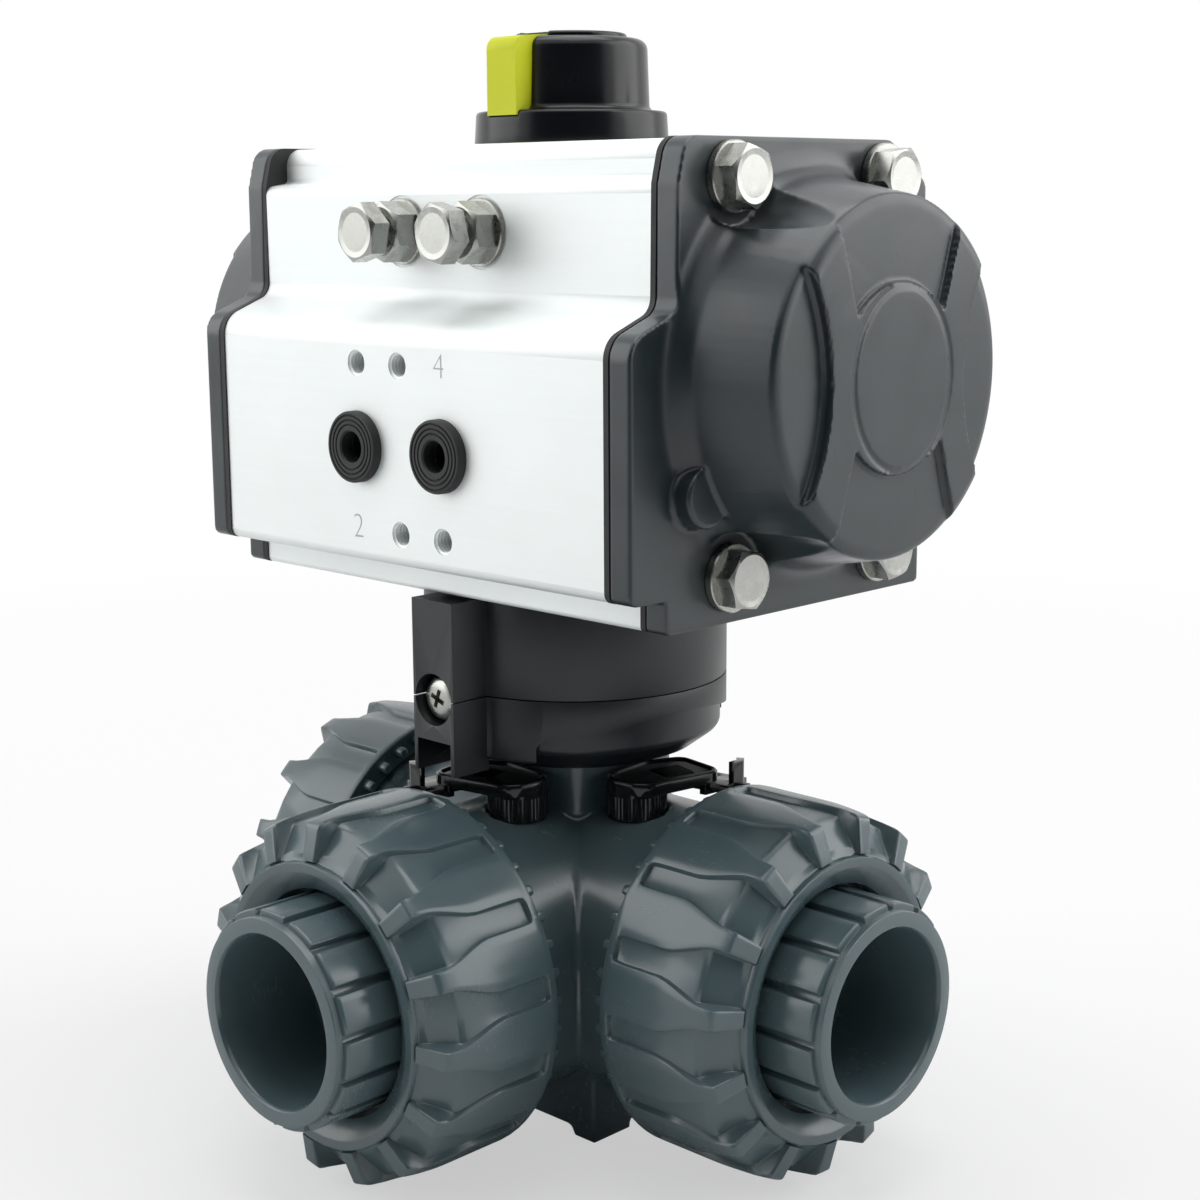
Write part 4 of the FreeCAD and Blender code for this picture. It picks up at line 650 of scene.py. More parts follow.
def repeated(layout: Callable[[], bpy.types.NodeTree], piece: Mesh, material: bpy.types.Material,
             merge: float = 0.0, **sizes: object) -> Mesh:
    """Lay out copies of a piece with a Geometry Nodes tree and return one plain mesh.

    Args:
        layout: the function that makes the tree.
        piece: the mesh that repeats, in metres.
        material: what the copies are made of.
        merge: gap in millimetres under which neighbouring copies join.
        sizes: the tree's named inputs, with spaces written as underscores.

    Returns:
        The realized copies.
    """
    tree = layout()
    values = {name.replace("_", " "): value for name, value in sizes.items()}
    values |= {"Merge Distance": merge * MM, "Material": material}

    def setup(host: Object) -> None:
        """Add the tree to the host and set its inputs by their identifiers.

        Args:
            host: the object that holds the piece.
        """
        modifier = host.modifiers.new("Pattern", "NODES")
        modifier.node_group = tree
        for item in tree.interface.items_tree:
            if item.item_type == "SOCKET" and item.in_out == "INPUT" and item.name in values:
                modifier[item.identifier] = values[item.name]
    return evaluated(piece, setup)


# Finishes

class Shade(Graph):
    """The node graph of one material, read on Object coordinates."""

    def __init__(self, name: str) -> None:
        """Start a material whose surface is one Principled shader.

        Args:
            name: the material's name.
        """
        self.material = bpy.data.materials.new(name)
        self.material.use_nodes = True
        super().__init__(self.material.node_tree)
        self.surface = self.nodes["Principled BSDF"]
        self.where = self.nodes.new("ShaderNodeTexCoord").outputs["Object"]

    def noise(self, size: float, detail: float, stretch: Colour = (1.0, 1.0, 1.0)) -> Socket:
        """A cloud pattern.

        Args:
            size: size of one cloud in millimetres.
            detail: number of finer layers.
            stretch: how much finer the pattern is along each axis.

        Returns:
            The socket of its strength, from 0 to 1.
        """
        spread = self.node("ShaderNodeMapping", {"Vector": self.where, "Scale": stretch})
        return self.node("ShaderNodeTexNoise", {
            "Vector": spread.outputs[0], "Scale": 1 / (size * MM), "Detail": detail}).outputs[0]

    def cells(self, size: float) -> Socket:
        """A pattern of pits of a size in millimetres: the distance to each centre."""
        return self.node("ShaderNodeTexVoronoi", {"Vector": self.where, "Scale": 1 / (size * MM)}).outputs[0]

    def span(self, value: Socket, low: float = 0.0, high: float = 1.0, source: Point = (0.3, 0.7)) -> Socket:
        """Spread a range of a pattern over another range.

        Args:
            value: the pattern.
            low: what it gives at the bottom of its range and below.
            high: what it gives at the top of its range and above.
            source: the pattern's own range.

        Returns:
            The socket of the spread pattern.
        """
        return self.node("ShaderNodeMapRange", {
            "Value": value, "From Min": source[0], "From Max": source[1],
            "To Min": low, "To Max": high}).outputs[0]

    def blend(self, factor: Socket, first: Colour, second: Colour) -> Socket:
        """A colour between two.

        Args:
            factor: the pattern that says how much of the second colour shows.
            first: colour where the pattern is 0.
            second: colour where the pattern is 1.

        Returns:
            The socket of the colour.
        """
        ends = {6: (*first, 1.0), 7: (*second, 1.0)}
        return self.node("ShaderNodeMix", {"Factor": factor} | ends, data_type="RGBA").outputs[2]

    def relief(self, height: Socket, depth: float, strength: float, under: Socket | None = None) -> Socket:
        """A bump.

        Args:
            height: the pattern that stands up.
            depth: its depth in millimetres.
            strength: how much of it shows.
            under: a bump that it lies on, if any.

        Returns:
            The socket of the bumped normal.
        """
        inputs = {"Height": height, "Distance": depth * MM, "Strength": strength}
        if under is not None:
            inputs["Normal"] = under
        return self.node("ShaderNodeBump", inputs).outputs[0]

    def put(self, **sockets: object) -> None:
        """Set or join the surface's own sockets, with spaces written as underscores."""
        for name, value in sockets.items():
            self.fill(self.surface.inputs[name.replace("_", " ")], value)


def scaled(colour: Colour, share: float) -> Colour:
    """A colour made lighter or darker by a share."""
    return tuple(min(1.0, part * share) for part in colour)


@dataclass(frozen=True)
class Finish:
    """What all finishes have: a name, the record's slot, a colour, a gloss, and how far both vary."""

    name: str
    slot: str
    colour: Colour
    roughness: float
    tones: Point = (0.94, 1.06)
    swing: Point = (0.05, 0.08)

    def dress(self, shade: Shade) -> None:
        """Fill in the material's nodes."""
        raise NotImplementedError

    def tone(self, shade: Shade, factor: Socket) -> Socket:
        """The finish's colour, from its darker to its lighter tone by a pattern."""
        return shade.blend(factor, scaled(self.colour, self.tones[0]), scaled(self.colour, self.tones[1]))

    def gloss(self, shade: Shade, pattern: Socket) -> Socket:
        """The finish's roughness, a little less or more by a pattern."""
        return shade.span(pattern, self.roughness - self.swing[0], self.roughness + self.swing[1])

    @cache
    def material(self) -> bpy.types.Material:
        """The finish's material.

        Returns:
            The material, which is made once.
        """
        shade = Shade(self.name)
        self.dress(shade)
        return shade.material


@dataclass(frozen=True)
class Moulded(Finish):
    """Injection-moulded plastic: faint cloudy flow, a fine spark-eroded grain and light scuffs."""

    grain: float = 0.35
    grain_depth: float = 0.010
    flow: float = 14.0
    flow_depth: float = 0.03
    scuff: float = 1.6
    scuff_range: Point = (0.55, 0.8)
    sheen_swing: float = 0.035
    shine: float = 0.5

    def dress(self, shade: Shade) -> None:
        """Fill in the material's nodes.

        Args:
            shade: the material's graph.
        """
        flow = shade.noise(self.flow, detail=4.0)
        grain = shade.noise(self.grain, detail=2.0)
        scuffs = shade.noise(self.scuff, detail=6.0, stretch=(1.0, 5.0, 1.0))
        dull = shade.span(scuffs, source=self.scuff_range)
        gloss = shade.maths("ADD", shade.span(flow, -self.sheen_swing, self.sheen_swing), self.roughness)
        worn = shade.node("ShaderNodeMath", {0: dull, 1: self.sheen_swing, 2: gloss},
                          operation="MULTIPLY_ADD", use_clamp=True).outputs[0]
        under = shade.relief(flow, self.flow_depth, strength=0.2)
        shade.put(Base_Color=self.tone(shade, shade.span(flow)), Roughness=worn,
                  Specular_IOR_Level=self.shine,
                  Normal=shade.relief(grain, self.grain_depth, strength=0.6, under=under))


@dataclass(frozen=True)
class Anodised(Finish):
    """Extruded aluminium, bead-blasted and anodised: even grain over faint lines along the extrusion."""

    tones: Point = (0.95, 1.04)
    swing: Point = (0.05, 0.07)
    grain: float = 0.22
    grain_depth: float = 0.010
    line: float = 0.8
    line_depth: float = 0.004
    cloud: float = 30.0
    line_share: float = 0.15
    cloud_share: float = 0.45
    grain_share: float = 0.4
    metal: float = 0.75

    def dress(self, shade: Shade) -> None:
        """Fill in the material's nodes.

        Args:
            shade: the material's graph.
        """
        grain = shade.noise(self.grain, detail=3.0)
        lines = shade.noise(self.line, detail=4.0, stretch=(0.015, 1.0, 1.0))
        cloud = shade.noise(self.cloud, detail=3.0)
        factor = shade.maths("ADD", shade.span(lines, high=self.line_share),
                             shade.span(cloud, high=self.cloud_share))
        factor = shade.maths("ADD", shade.span(grain, high=self.grain_share), factor)
        under = shade.relief(lines, self.line_depth, strength=0.2)
        shade.put(Base_Color=self.tone(shade, factor), Metallic=self.metal,
                  Roughness=self.gloss(shade, grain),
                  Normal=shade.relief(grain, self.grain_depth, strength=0.7, under=under))


@dataclass(frozen=True)
class CoatedCasting(Finish):
    """Die-cast metal under a satin dark coating: soft orange peel and a few tiny pits."""

    tones: Point = (0.88, 1.14)
    cast: float = 9.0
    cast_depth: float = 0.08
    peel: float = 1.5
    peel_depth: float = 0.02
    pit: float = 5.0
    pit_range: Point = (0.03, 0.09)
    pit_depth: float = 0.03
    coat: float = 0.25
    coat_roughness: float = 0.2

    def dress(self, shade: Shade) -> None:
        """Fill in the material's nodes.

        Args:
            shade: the material's graph.
        """
        peel = shade.noise(self.peel, detail=2.0)
        cast = shade.noise(self.cast, detail=4.0)
        pits = shade.span(shade.cells(self.pit), source=self.pit_range)
        waves = shade.relief(cast, self.cast_depth, strength=0.4)
        under = shade.relief(peel, self.peel_depth, strength=0.6, under=waves)
        shade.put(Base_Color=self.tone(shade, shade.span(cast)), Roughness=self.gloss(shade, cast),
                  Coat_Weight=self.coat, Coat_Roughness=self.coat_roughness,
                  Normal=shade.relief(pits, self.pit_depth, strength=0.5, under=under))


@dataclass(frozen=True)
class TurnedMetal(Finish):
    """Machined or rolled metal: fine tool lines, slight stain and shallow dents."""

    tones: Point = (0.90, 1.06)
    swing: Point = (0.06, 0.10)
    line: float = 0.12
    line_depth: float = 0.006
    stain: float = 2.4
    dent: float = 0.9
    dent_depth: float = 0.012

    def dress(self, shade: Shade) -> None:
        """Fill in the material's nodes.

        Args:
            shade: the material's graph.
        """
        lines = shade.noise(self.line, detail=4.0)
        stain = shade.noise(self.stain, detail=4.0)
        dents = shade.noise(self.dent, detail=3.0)
        under = shade.relief(dents, self.dent_depth, strength=0.3)
        shade.put(Base_Color=self.tone(shade, shade.span(stain)), Metallic=1.0,
                  Roughness=self.gloss(shade, stain),
                  Normal=shade.relief(lines, self.line_depth, strength=0.5, under=under))


@dataclass(frozen=True)
class Elastomer(Finish):
    """Moulded rubber: dull, with fine bloom and a sanded grain."""

    tones: Point = (0.85, 1.5)
    swing: Point = (0.08, 0.08)
    grain: float = 0.18
    grain_depth: float = 0.02
    bloom: float = 3.5

    def dress(self, shade: Shade) -> None:
        """Fill in the material's nodes.

        Args:
            shade: the material's graph.
        """
        grain = shade.noise(self.grain, detail=3.0)
        bloom = shade.noise(self.bloom, detail=5.0)
        shade.put(Base_Color=self.tone(shade, shade.span(bloom)), Roughness=self.gloss(shade, bloom),
                  Normal=shade.relief(grain, self.grain_depth, strength=0.6))


PIPE_GREY = Moulded("moulded_pipe_grey", "pvc_grey", (0.078, 0.118, 0.132), 0.24, shine=0.7)
MODULE_BLACK = Moulded("grained_module_black", "module_black", (0.008, 0.0112, 0.0132), 0.36,
                       shine=0.55, grain=0.5, grain_depth=0.02)
LEVER_BLACK = Moulded("lever_gloss_black", "lever_black", (0.008, 0.009, 0.010), 0.13, sheen_swing=0.04)
INDICATOR_BLACK = Moulded("polished_indicator_black", "indicator_black", (0.0045, 0.0053, 0.0072),
                          0.24, shine=0.4)
FLAG_YELLOW = Moulded("satin_flag_yellow", "flag_yellow", (0.67, 0.72, 0.008), 0.44,
                      tones=(0.95, 1.05), shine=0.3)
SEAT_WHITE = Moulded("seat_white", "ptfe_white", (0.80, 0.80, 0.77), 0.45, tones=(0.97, 1.03))
SILVER_ANODISED = Anodised("silver_anodised", "anodised_aluminium", (0.83, 0.865, 0.86), 0.60)
# Painted shade: a darker aluminium tone on the number strokes stands in for the shade inside the engraved
# grooves.
ENGRAVING_SHADE = Anodised("engraving_painted_shade", "anodised_aluminium", (0.42, 0.44, 0.44), 0.60)
# Painted shade: a near-black tone on the faces inside the two air passages stands in for the shade deep in
# the bores.
PASSAGE_PAINTED_SHADE = TurnedMetal("passage_painted_shade", "anodised_aluminium", (0.035, 0.035, 0.035), 0.65)
CAP_COATING = CoatedCasting("cap_coating", "cap_black", (0.018, 0.028, 0.032), 0.33)
STAINLESS = TurnedMetal("rolled_stainless", "stainless", (0.42, 0.425, 0.40), 0.27)
DRIVE_STEEL = TurnedMetal("drive_steel", "steel_drive", (0.42, 0.42, 0.42), 0.34)
PISTON_ALLOY = TurnedMetal("piston_alloy", "cast_piston", (0.62, 0.63, 0.64), 0.45, line=0.4)
INSERT_BRASS = TurnedMetal("insert_brass", "brass_insert", (0.78, 0.58, 0.28), 0.30)
SEAL_RUBBER = Elastomer("seal_rubber", "seal_black", (0.012, 0.013, 0.013), 0.62)


# Pieces

@dataclass
class Piece:
    """One finished part of the object: its meshes, finish, body and the node it stands for."""

    name: str
    finish: Finish
    body: str
    replaces: tuple[str, ...] = ()
    sharp_angle: float = 32.0
    flat_area: float = 6.0
    meshes: list[Mesh] = field(default_factory=list)
    inner_finish: Finish | None = None
    is_inner: Callable[[Vector], bool] | None = None

    def add(self, *meshes: Mesh) -> "Piece":
        """Put more meshes into the piece and return it."""
        self.meshes += meshes
        return self

    def place(self) -> Object:
        """Join the meshes, shade them and hand the object to its body.

        Returns:
            The finished object.
        """
        mesh = shaded(joined(self.name, self.meshes), self.sharp_angle, self.flat_area)
        mesh.materials.clear()
        mesh.materials.append(self.finish.material())
        mesh.polygons.foreach_set("material_index", [0] * len(mesh.polygons))
        # Faces that the test finds take the second finish, such as the painted shade inside the actuator's
        # air passages.
        if self.inner_finish and self.is_inner:
            mesh.materials.append(self.inner_finish.material())
            for polygon in mesh.polygons:
                polygon.material_index = int(self.is_inner(polygon.center))
        piece = shown(self.name, mesh)
        if self.replaces:
            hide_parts(*self.replaces)
        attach(piece, self.body)
        log.info("%s: %d faces on %s", self.name, len(mesh.polygons), self.body)
        return piece


# Ribbed turned parts: union nuts and end connectors

@dataclass(frozen=True)
class Row:
    """One row of a ribbed part's section: where its lands and its channels lie there.

    Each place is (radius, reach along the port), and half is the land's half width in degrees.
    """

    land: Point
    channel: Point
    half: float


def plain(radius: float, reach: float, half: float) -> Row:
    """A row without ribs."""
    return Row((radius, reach), (radius, reach), half)


@dataclass(frozen=True)
class Ribs:
    """How many lands stand round a part, and how their edges run down to the channels."""

    count: int
    edge: float = 0.5
    wall: float = 0.35

    def columns(self, half: float) -> list[tuple[float, float]]:
        """Angles across one land and the channel halves beside it.

        Args:
            half: the land's half width in degrees.

        Returns:
            (angle in degrees, share of the way down from land to channel) for each column.
        """
        pitch = 180.0 / self.count
        foot = half + self.wall
        right = [(half * 0.55, 0.0), (half - self.edge, 0.0), (half - self.edge * 0.4, 0.06),
                 (half, 0.26), (foot, 0.9), (foot + self.edge * 0.8, 1.0), (pitch, 1.0)]
        return [(-angle, share) for angle, share in reversed(right)] + [(0.0, 0.0)] + right

    def wrap(self, name: str, rows: Sequence[Row], material: bpy.types.Material) -> Mesh:
        """Make one land's sector from a closed run of rows and repeat it round the axis.

        Args:
            name: the mesh's name.
            rows: the section, as a closed loop.
            material: what the part is made of.

        Returns:
            The closed part, along +Z.
        """
        points = []
        for row in rows:
            for angle, share in self.columns(row.half):
                radius = row.land[0] + (row.channel[0] - row.land[0]) * share
                reach = row.land[1] + (row.channel[1] - row.land[1]) * share
                points.append((radius * MM * math.cos(math.radians(angle)),
                               radius * MM * math.sin(math.radians(angle)), reach * MM))
        sector = bpy.data.meshes.new(name)
        sector.from_pydata(points, [], grid_faces(len(rows), len(points) // len(rows), close_across=False))
        return tidied(repeated(ring_tree, sector, material, merge=0.01, Count=self.count))


@dataclass
class UnionNut:
    """A union nut: a smooth rear rim, fifteen lands that narrow over a rounded nose, and lock teeth."""

    port: Port
    finish: Finish = PIPE_GREY
    rear: float = 41.6
    rim: float = 43.5
    radius: float = 36.4
    floor: float = 35.2
    thread: float = 31.08
    shoulder: float = 61.55
    front: float = 70.6
    mouth: float = 22.4
    wide: float = 8.0
    narrow: float = 3.4
    flare: float = 1.4
    bend: Point = (54.5, 66.5)
    nose: tuple[tuple[Point, Point], ...] = (
        ((36.38, 57.0), (35.18, 57.0)), ((36.3, 59.0), (35.08, 58.9)), ((36.2, 60.8), (34.93, 60.6)),
        ((36.08, 62.6), (34.75, 62.2)), ((35.98, 64.2), (34.62, 63.2)), ((35.86, 65.2), (34.5, 63.7)),
        ((35.72, 66.2), (34.26, 64.15)), ((35.6, 67.0), (33.95, 64.55)), ((35.46, 67.5), (33.6, 64.9)),
        ((35.33, 67.95), (33.0, 65.4)), ((35.1, 68.3), (32.4, 65.88)), ((34.78, 68.52), (31.8, 66.35)),
        ((34.4, 68.65), (31.2, 66.83)), ((33.4, 68.92), (30.5, 67.38)), ((32.0, 69.3), (29.8, 67.94)),
        ((30.4, 69.73), (29.1, 68.5)), ((29.1, 70.08), (28.6, 68.9)), ((28.5, 70.2), (28.38, 69.05)))
    ribs: Ribs = Ribs(15)
    teeth: int = 40
    tooth_middle: float = 34.1
    tooth_length: float = 2.4
    tooth_taper: float = 0.78

    def half_at(self, reach: float) -> float:
        """The land's half width in degrees: wide behind, narrow on the nose, with a soft bend between."""
        share = min(1.0, max(0.0, (reach - self.bend[0]) / (self.bend[1] - self.bend[0])))
        return self.wide + (self.narrow - self.wide) * share * share * (3 - 2 * share)

    def rows(self) -> list[Row]:
        """The nut's whole section, from its rear face over the nose and back through the bore.

        Returns:
            The section's rows, as a closed loop.
        """
        radius, floor, wide = self.radius, self.floor, self.wide
        section = [plain(place, reach, wide + self.flare) for place, reach in (
            (self.thread + 0.3, self.rear), (radius - 0.5, self.rear), (radius - 0.15, self.rear + 0.12),
            (radius, self.rear + 0.45), (radius, self.rim - 0.15))]
        section += [Row((radius, self.rim + step), (drop, self.rim + step), wide + extra)
                    for step, drop, extra in ((0.0, radius - 0.25, self.flare), (0.12, floor + 0.4, 0.9),
                                              (0.3, floor + 0.06, 0.5), (0.8, floor, 0.15))]
        section += [Row((radius, reach), (floor, reach), wide) for reach in (46.0, 50.0, 53.0, 55.0)]
        section += [Row(land, channel, self.half_at(land[1])) for land, channel in self.nose]
        ring = ((28.25, 69.1), (28.05, 69.2), (28.0, 70.3), (27.75, self.front), (26.25, self.front),
                (25.95, self.front - 0.12), (self.mouth + 0.35, 68.55), (self.mouth, 68.2),
                (self.mouth, self.shoulder), (self.thread, self.shoulder), (self.thread, self.rear + 0.4))
        return section + [plain(place, reach, self.narrow) for place, reach in ring]

    def tooth(self) -> Mesh:
        """One rounded lock tooth on the rear face.

        Returns:
            The tooth, at its distance from the axis.
        """
        half = self.tooth_length / 2
        side = rounded(((-half, -half, 0.8), (half, -half, 0.8), (half, half, 0.5), (-half, half, 0.5)),
                       steps=3)
        block = prism("LockTooth", side, self.rear - self.tooth_length, self.rear + 0.3)
        for vertex in block.vertices:
            if vertex.co.z < (self.rear - 1) * MM:
                vertex.co.x *= self.tooth_taper
                vertex.co.y *= self.tooth_taper
        return moved(evaluated(block, bevel(0.35, angle=50.0)), shift(x=self.tooth_middle))

    def build(self) -> list[Piece]:
        """Make the nut on its own turning body.

        Returns:
            The nut, as one piece.
        """
        place = self.port.place(self.port.spin)
        material = self.finish.material()
        shell = self.ribs.wrap("NutShell", self.rows(), material)
        teeth = repeated(ring_tree, self.tooth(), material, Count=self.teeth)
        piece = Piece(f"ribbed_union_nut_{self.port.label}", self.finish, f"nut_{self.port.label}",
                      (f"union_nut_{self.port.label}",), sharp_angle=40.0)
        return [piece.add(moved(shell, place), moved(teeth, place))]


@dataclass
class EndConnector:
    """A socket end: flange behind the nut, a sleeve with raised pads and the pipe socket."""

    port: Port
    finish: Finish = PIPE_GREY
    face: float = 56.3
    flange: float = 29.5
    flange_end: float = 61.5
    pad: float = 21.3
    sleeve: float = 20.0
    pad_end: float = 80.0
    mouth_reach: float = 81.5
    mouth: float = 17.0
    socket: float = 16.6
    socket_floor: float = 59.5
    bore: float = 12.5
    half: float = 9.6
    ribs: Ribs = Ribs(15, 0.7, 0.5)

    def rows(self) -> list[Row]:
        """The connector's section, from the seal face round the sleeve's mouth and down the socket.

        Returns:
            The section's rows, as a closed loop.
        """
        half, pad, sleeve, end = self.half, self.pad, self.sleeve, self.pad_end
        section = [plain(radius, reach, half) for radius, reach in (
            (self.bore, self.face), (self.flange - 0.3, self.face), (self.flange, self.face + 0.3),
            (self.flange, self.flange_end - 0.3), (self.flange - 0.3, self.flange_end),
            (pad + 0.3, self.flange_end))]
        section += [Row((land, reach), (sleeve, reach), half) for land, reach in (
            (pad, self.flange_end + 0.3), (pad, 70.0), (pad, end - 0.5), (pad - 0.08, end - 0.2))]
        section += [Row((pad - 0.3, end), (sleeve, end - 0.05), half)]
        tail = ((sleeve + 0.05, end + 0.05), (sleeve, end + 0.15), (sleeve, self.mouth_reach - 0.3),
                (sleeve - 0.1, self.mouth_reach - 0.08), (sleeve - 0.3, self.mouth_reach),
                (self.mouth + 0.12, self.mouth_reach), (self.mouth, self.mouth_reach - 0.1),
                (self.socket, self.mouth_reach - 0.9), (self.socket, self.socket_floor),
                (self.bore, self.socket_floor))
        return section + [plain(radius, reach, half) for radius, reach in tail]

    def build(self) -> list[Piece]:
        """Make the connector, which stays with the housing.

        Returns:
            The connector, as one piece.
        """
        shell = self.ribs.wrap("ConnectorShell", self.rows(), self.finish.material())
        piece = Piece(f"pipe_socket_end_{self.port.label}", self.finish, Body.HOUSING.value,
                      (f"end_connector_{self.port.label}",), sharp_angle=38.0)
        return [piece.add(moved(shell, self.port.place(90.0)))]


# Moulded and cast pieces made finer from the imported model's own shapes

@dataclass
class ValveBody:
    """The three-way body: hubs that run softly into one another, the square tower and the foot."""

    finish: Finish = PIPE_GREY
    voxel: float = 0.7
    passes: int = 3
    keep: float = 0.35

    def build(self) -> list[Piece]:
        """Soften the body as a moulding comes from its tool.

        Returns:
            The body, as one piece.
        """
        shell = evaluated(node_twin("valve_body"), softened(self.voxel, self.passes, self.keep))
        piece = Piece("three_way_body", self.finish, Body.HOUSING.value, ("valve_body",), sharp_angle=45.0)
        return [piece.add(shell)]


@dataclass
class EndCap:
    """A cast end cap: rounded plate, domed cover with scallops at its screws, and a relief on its face."""

    side: Side
    finish: Finish = CAP_COATING
    voxel: float = 0.42
    passes: int = 2
    keep: float = 0.27
    groove_half: Point = (14.2, 16.4)
    groove_shift: float = 0.8
    groove_radius: float = 0.8
    groove_depth: float = 0.4
    groove_steps: int = 72
    groove_flats: int = 10

    def groove(self, node: str) -> Mesh:
        """The tool of the shallow oval groove in the middle of the cover's face.

        Args:
            node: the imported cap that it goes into.

        Returns:
            A ring of round section that dips into the face.
        """
        low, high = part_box(node)
        face = (high.x if self.side is Side.RIGHT else -low.x) / MM
        middle = face + self.groove_radius - self.groove_depth
        across, up = self.groove_half
        points = []
        for step in range(self.groove_steps):
            angle = FULL_TURN * step / self.groove_steps
            spot = Vector((across * math.cos(angle), up * math.sin(angle)))
            away = Vector((spot.x / across ** 2, spot.y / up ** 2)).normalized()
            for flat in range(self.groove_flats):
                around = FULL_TURN * flat / self.groove_flats
                edge = spot + away * (self.groove_radius * math.cos(around))
                points.append((self.side.value * (middle + self.groove_radius * math.sin(around)),
                               edge.x + self.groove_shift, edge.y + DATUM.bore_axis / MM))
        return mesh_from("GrooveTool", points, grid_faces(self.groove_steps, self.groove_flats))

    def build(self) -> list[Piece]:
        """Press the groove into the cap and soften it as a die casting.

        Returns:
            The cap, as one piece.
        """
        node = f"end_cap_{self.side.label}"
        blank = carved(node_twin(node), self.groove(node))
        shell = evaluated(blank, softened(self.voxel, self.passes, self.keep))
        piece = Piece(f"cast_{node}", self.finish, Body.HOUSING.value, (node,), sharp_angle=50.0)
        return [piece.add(shell)]


@dataclass
class ActuatorBody:
    """The extruded cylinder body, with the two engraved port numbers drawn in painted shade on its front."""

    finish: Finish = SILVER_ANODISED
    edge: float = 0.35
    digit_height: float = 5.0
    digit_scale: float = 1.38
    digit_film: float = 0.03
    digit_thinning: float = 0.17
    # painted shade of the engraved number strokes
    mark_painted_shade: Finish = ENGRAVING_SHADE
    four: Point = (11.7, 120.0)
    two: Point = (-12.5, 88.0)
    # painted shade for the faces inside the air passages
    passage_shade_finish: Finish = PASSAGE_PAINTED_SHADE
    passage_radius: float = 3.05
    passage_reach: Point = (1.2, 20.0)
    tapped_rise: float = 16.0
    tapped_radius: float = 2.5
    thread_depth: float = 0.42
    thread_pitch: float = 0.8
    thread_turns: int = 9

    def number(self, text: str, place: Point) -> Mesh:
        """The thin strokes of one port number on the front face, in a darker tone that paints the engraving's
        shade.

        Args:
            text: the number.
            place: its middle on the front face, as (across, height above the port axis).

        Returns:
            The mark, sunk into the face but for its own thin film.
        """
        letters = bpy.data.curves.new("Number", "FONT")
        letters.body = text
        letters.size = self.digit_height * self.digit_scale * MM
        letters.align_x, letters.align_y = "CENTER", "CENTER"
        letters.extrude = self.digit_film * MM
        letters.offset = -self.digit_thinning * MM
        solid = tidied(frozen(shown("NumberHost", letters)))
        spot = Matrix.Translation((place[0] * MM, DATUM.front, DATUM.port_axis + place[1] * MM))
        return moved(solid, spot @ turn("X", 90.0))

    def threads(self) -> list[Mesh]:
        """The thread turns of the four tapped holes round the air ports.

        Returns:
            One mesh for each hole.
        """
        root, tip = self.tapped_radius + 0.04, self.tapped_radius - self.thread_depth
        half = self.thread_pitch * 0.46
        crest = lathe("ThreadTurn", ((root, -half), (root, half), (tip, 0.06), (tip, -0.06)), segments=24)
        turns = repeated(row_tree, crest, self.finish.material(), Count=self.thread_turns,
                         Step=(0.0, 0.0, self.thread_pitch * MM))
        half_spacing = AIR_PORT_SPACING / 2
        holes = ((-half_spacing, self.tapped_rise), (0.0, self.tapped_rise),
                 (0.0, -self.tapped_rise), (half_spacing, -self.tapped_rise))
        return [moved(turns.copy(), front_spot(across, self.thread_pitch * 0.75, AIR_PORT_RISE + rise)
                      @ turn("X", -90.0)) for across, rise in holes]

    def in_passage(self, spot: Vector) -> bool:
        """Whether a point of the body's surface lies inside one of the two air passages, whose faces get the
        painted shade.

        Args:
            spot: the point, in metres.

        Returns:
            True inside a passage.
        """
        near, far = self.passage_reach
        if not near * MM <= spot.y - DATUM.front <= far * MM:
            return False
        rise = spot.z - DATUM.deck - AIR_PORT_RISE * MM
        across = abs(spot.x) - AIR_PORT_SPACING / 2 * MM
        return math.hypot(across, rise) < self.passage_radius * MM

    def build(self) -> list[Piece]:
        """Round the extrusion's edges, cut the threads, paint shade into the air passages and mark the port
        numbers.

        Returns:
            The body and the numbers.
        """
        shell = evaluated(node_twin("actuator_body"), bevel(self.edge))
        marks = Piece("port_numbers_painted_shade", self.mark_painted_shade, Body.HOUSING.value)
        marks.add(self.number("4", self.four), self.number("2", self.two))
        body = Piece("extruded_cylinder_body", self.finish, Body.HOUSING.value, ("actuator_body",),
                     flat_area=0.0, inner_finish=self.passage_shade_finish, is_inner=self.in_passage)
        return [body.add(shell, *self.threads()), marks]


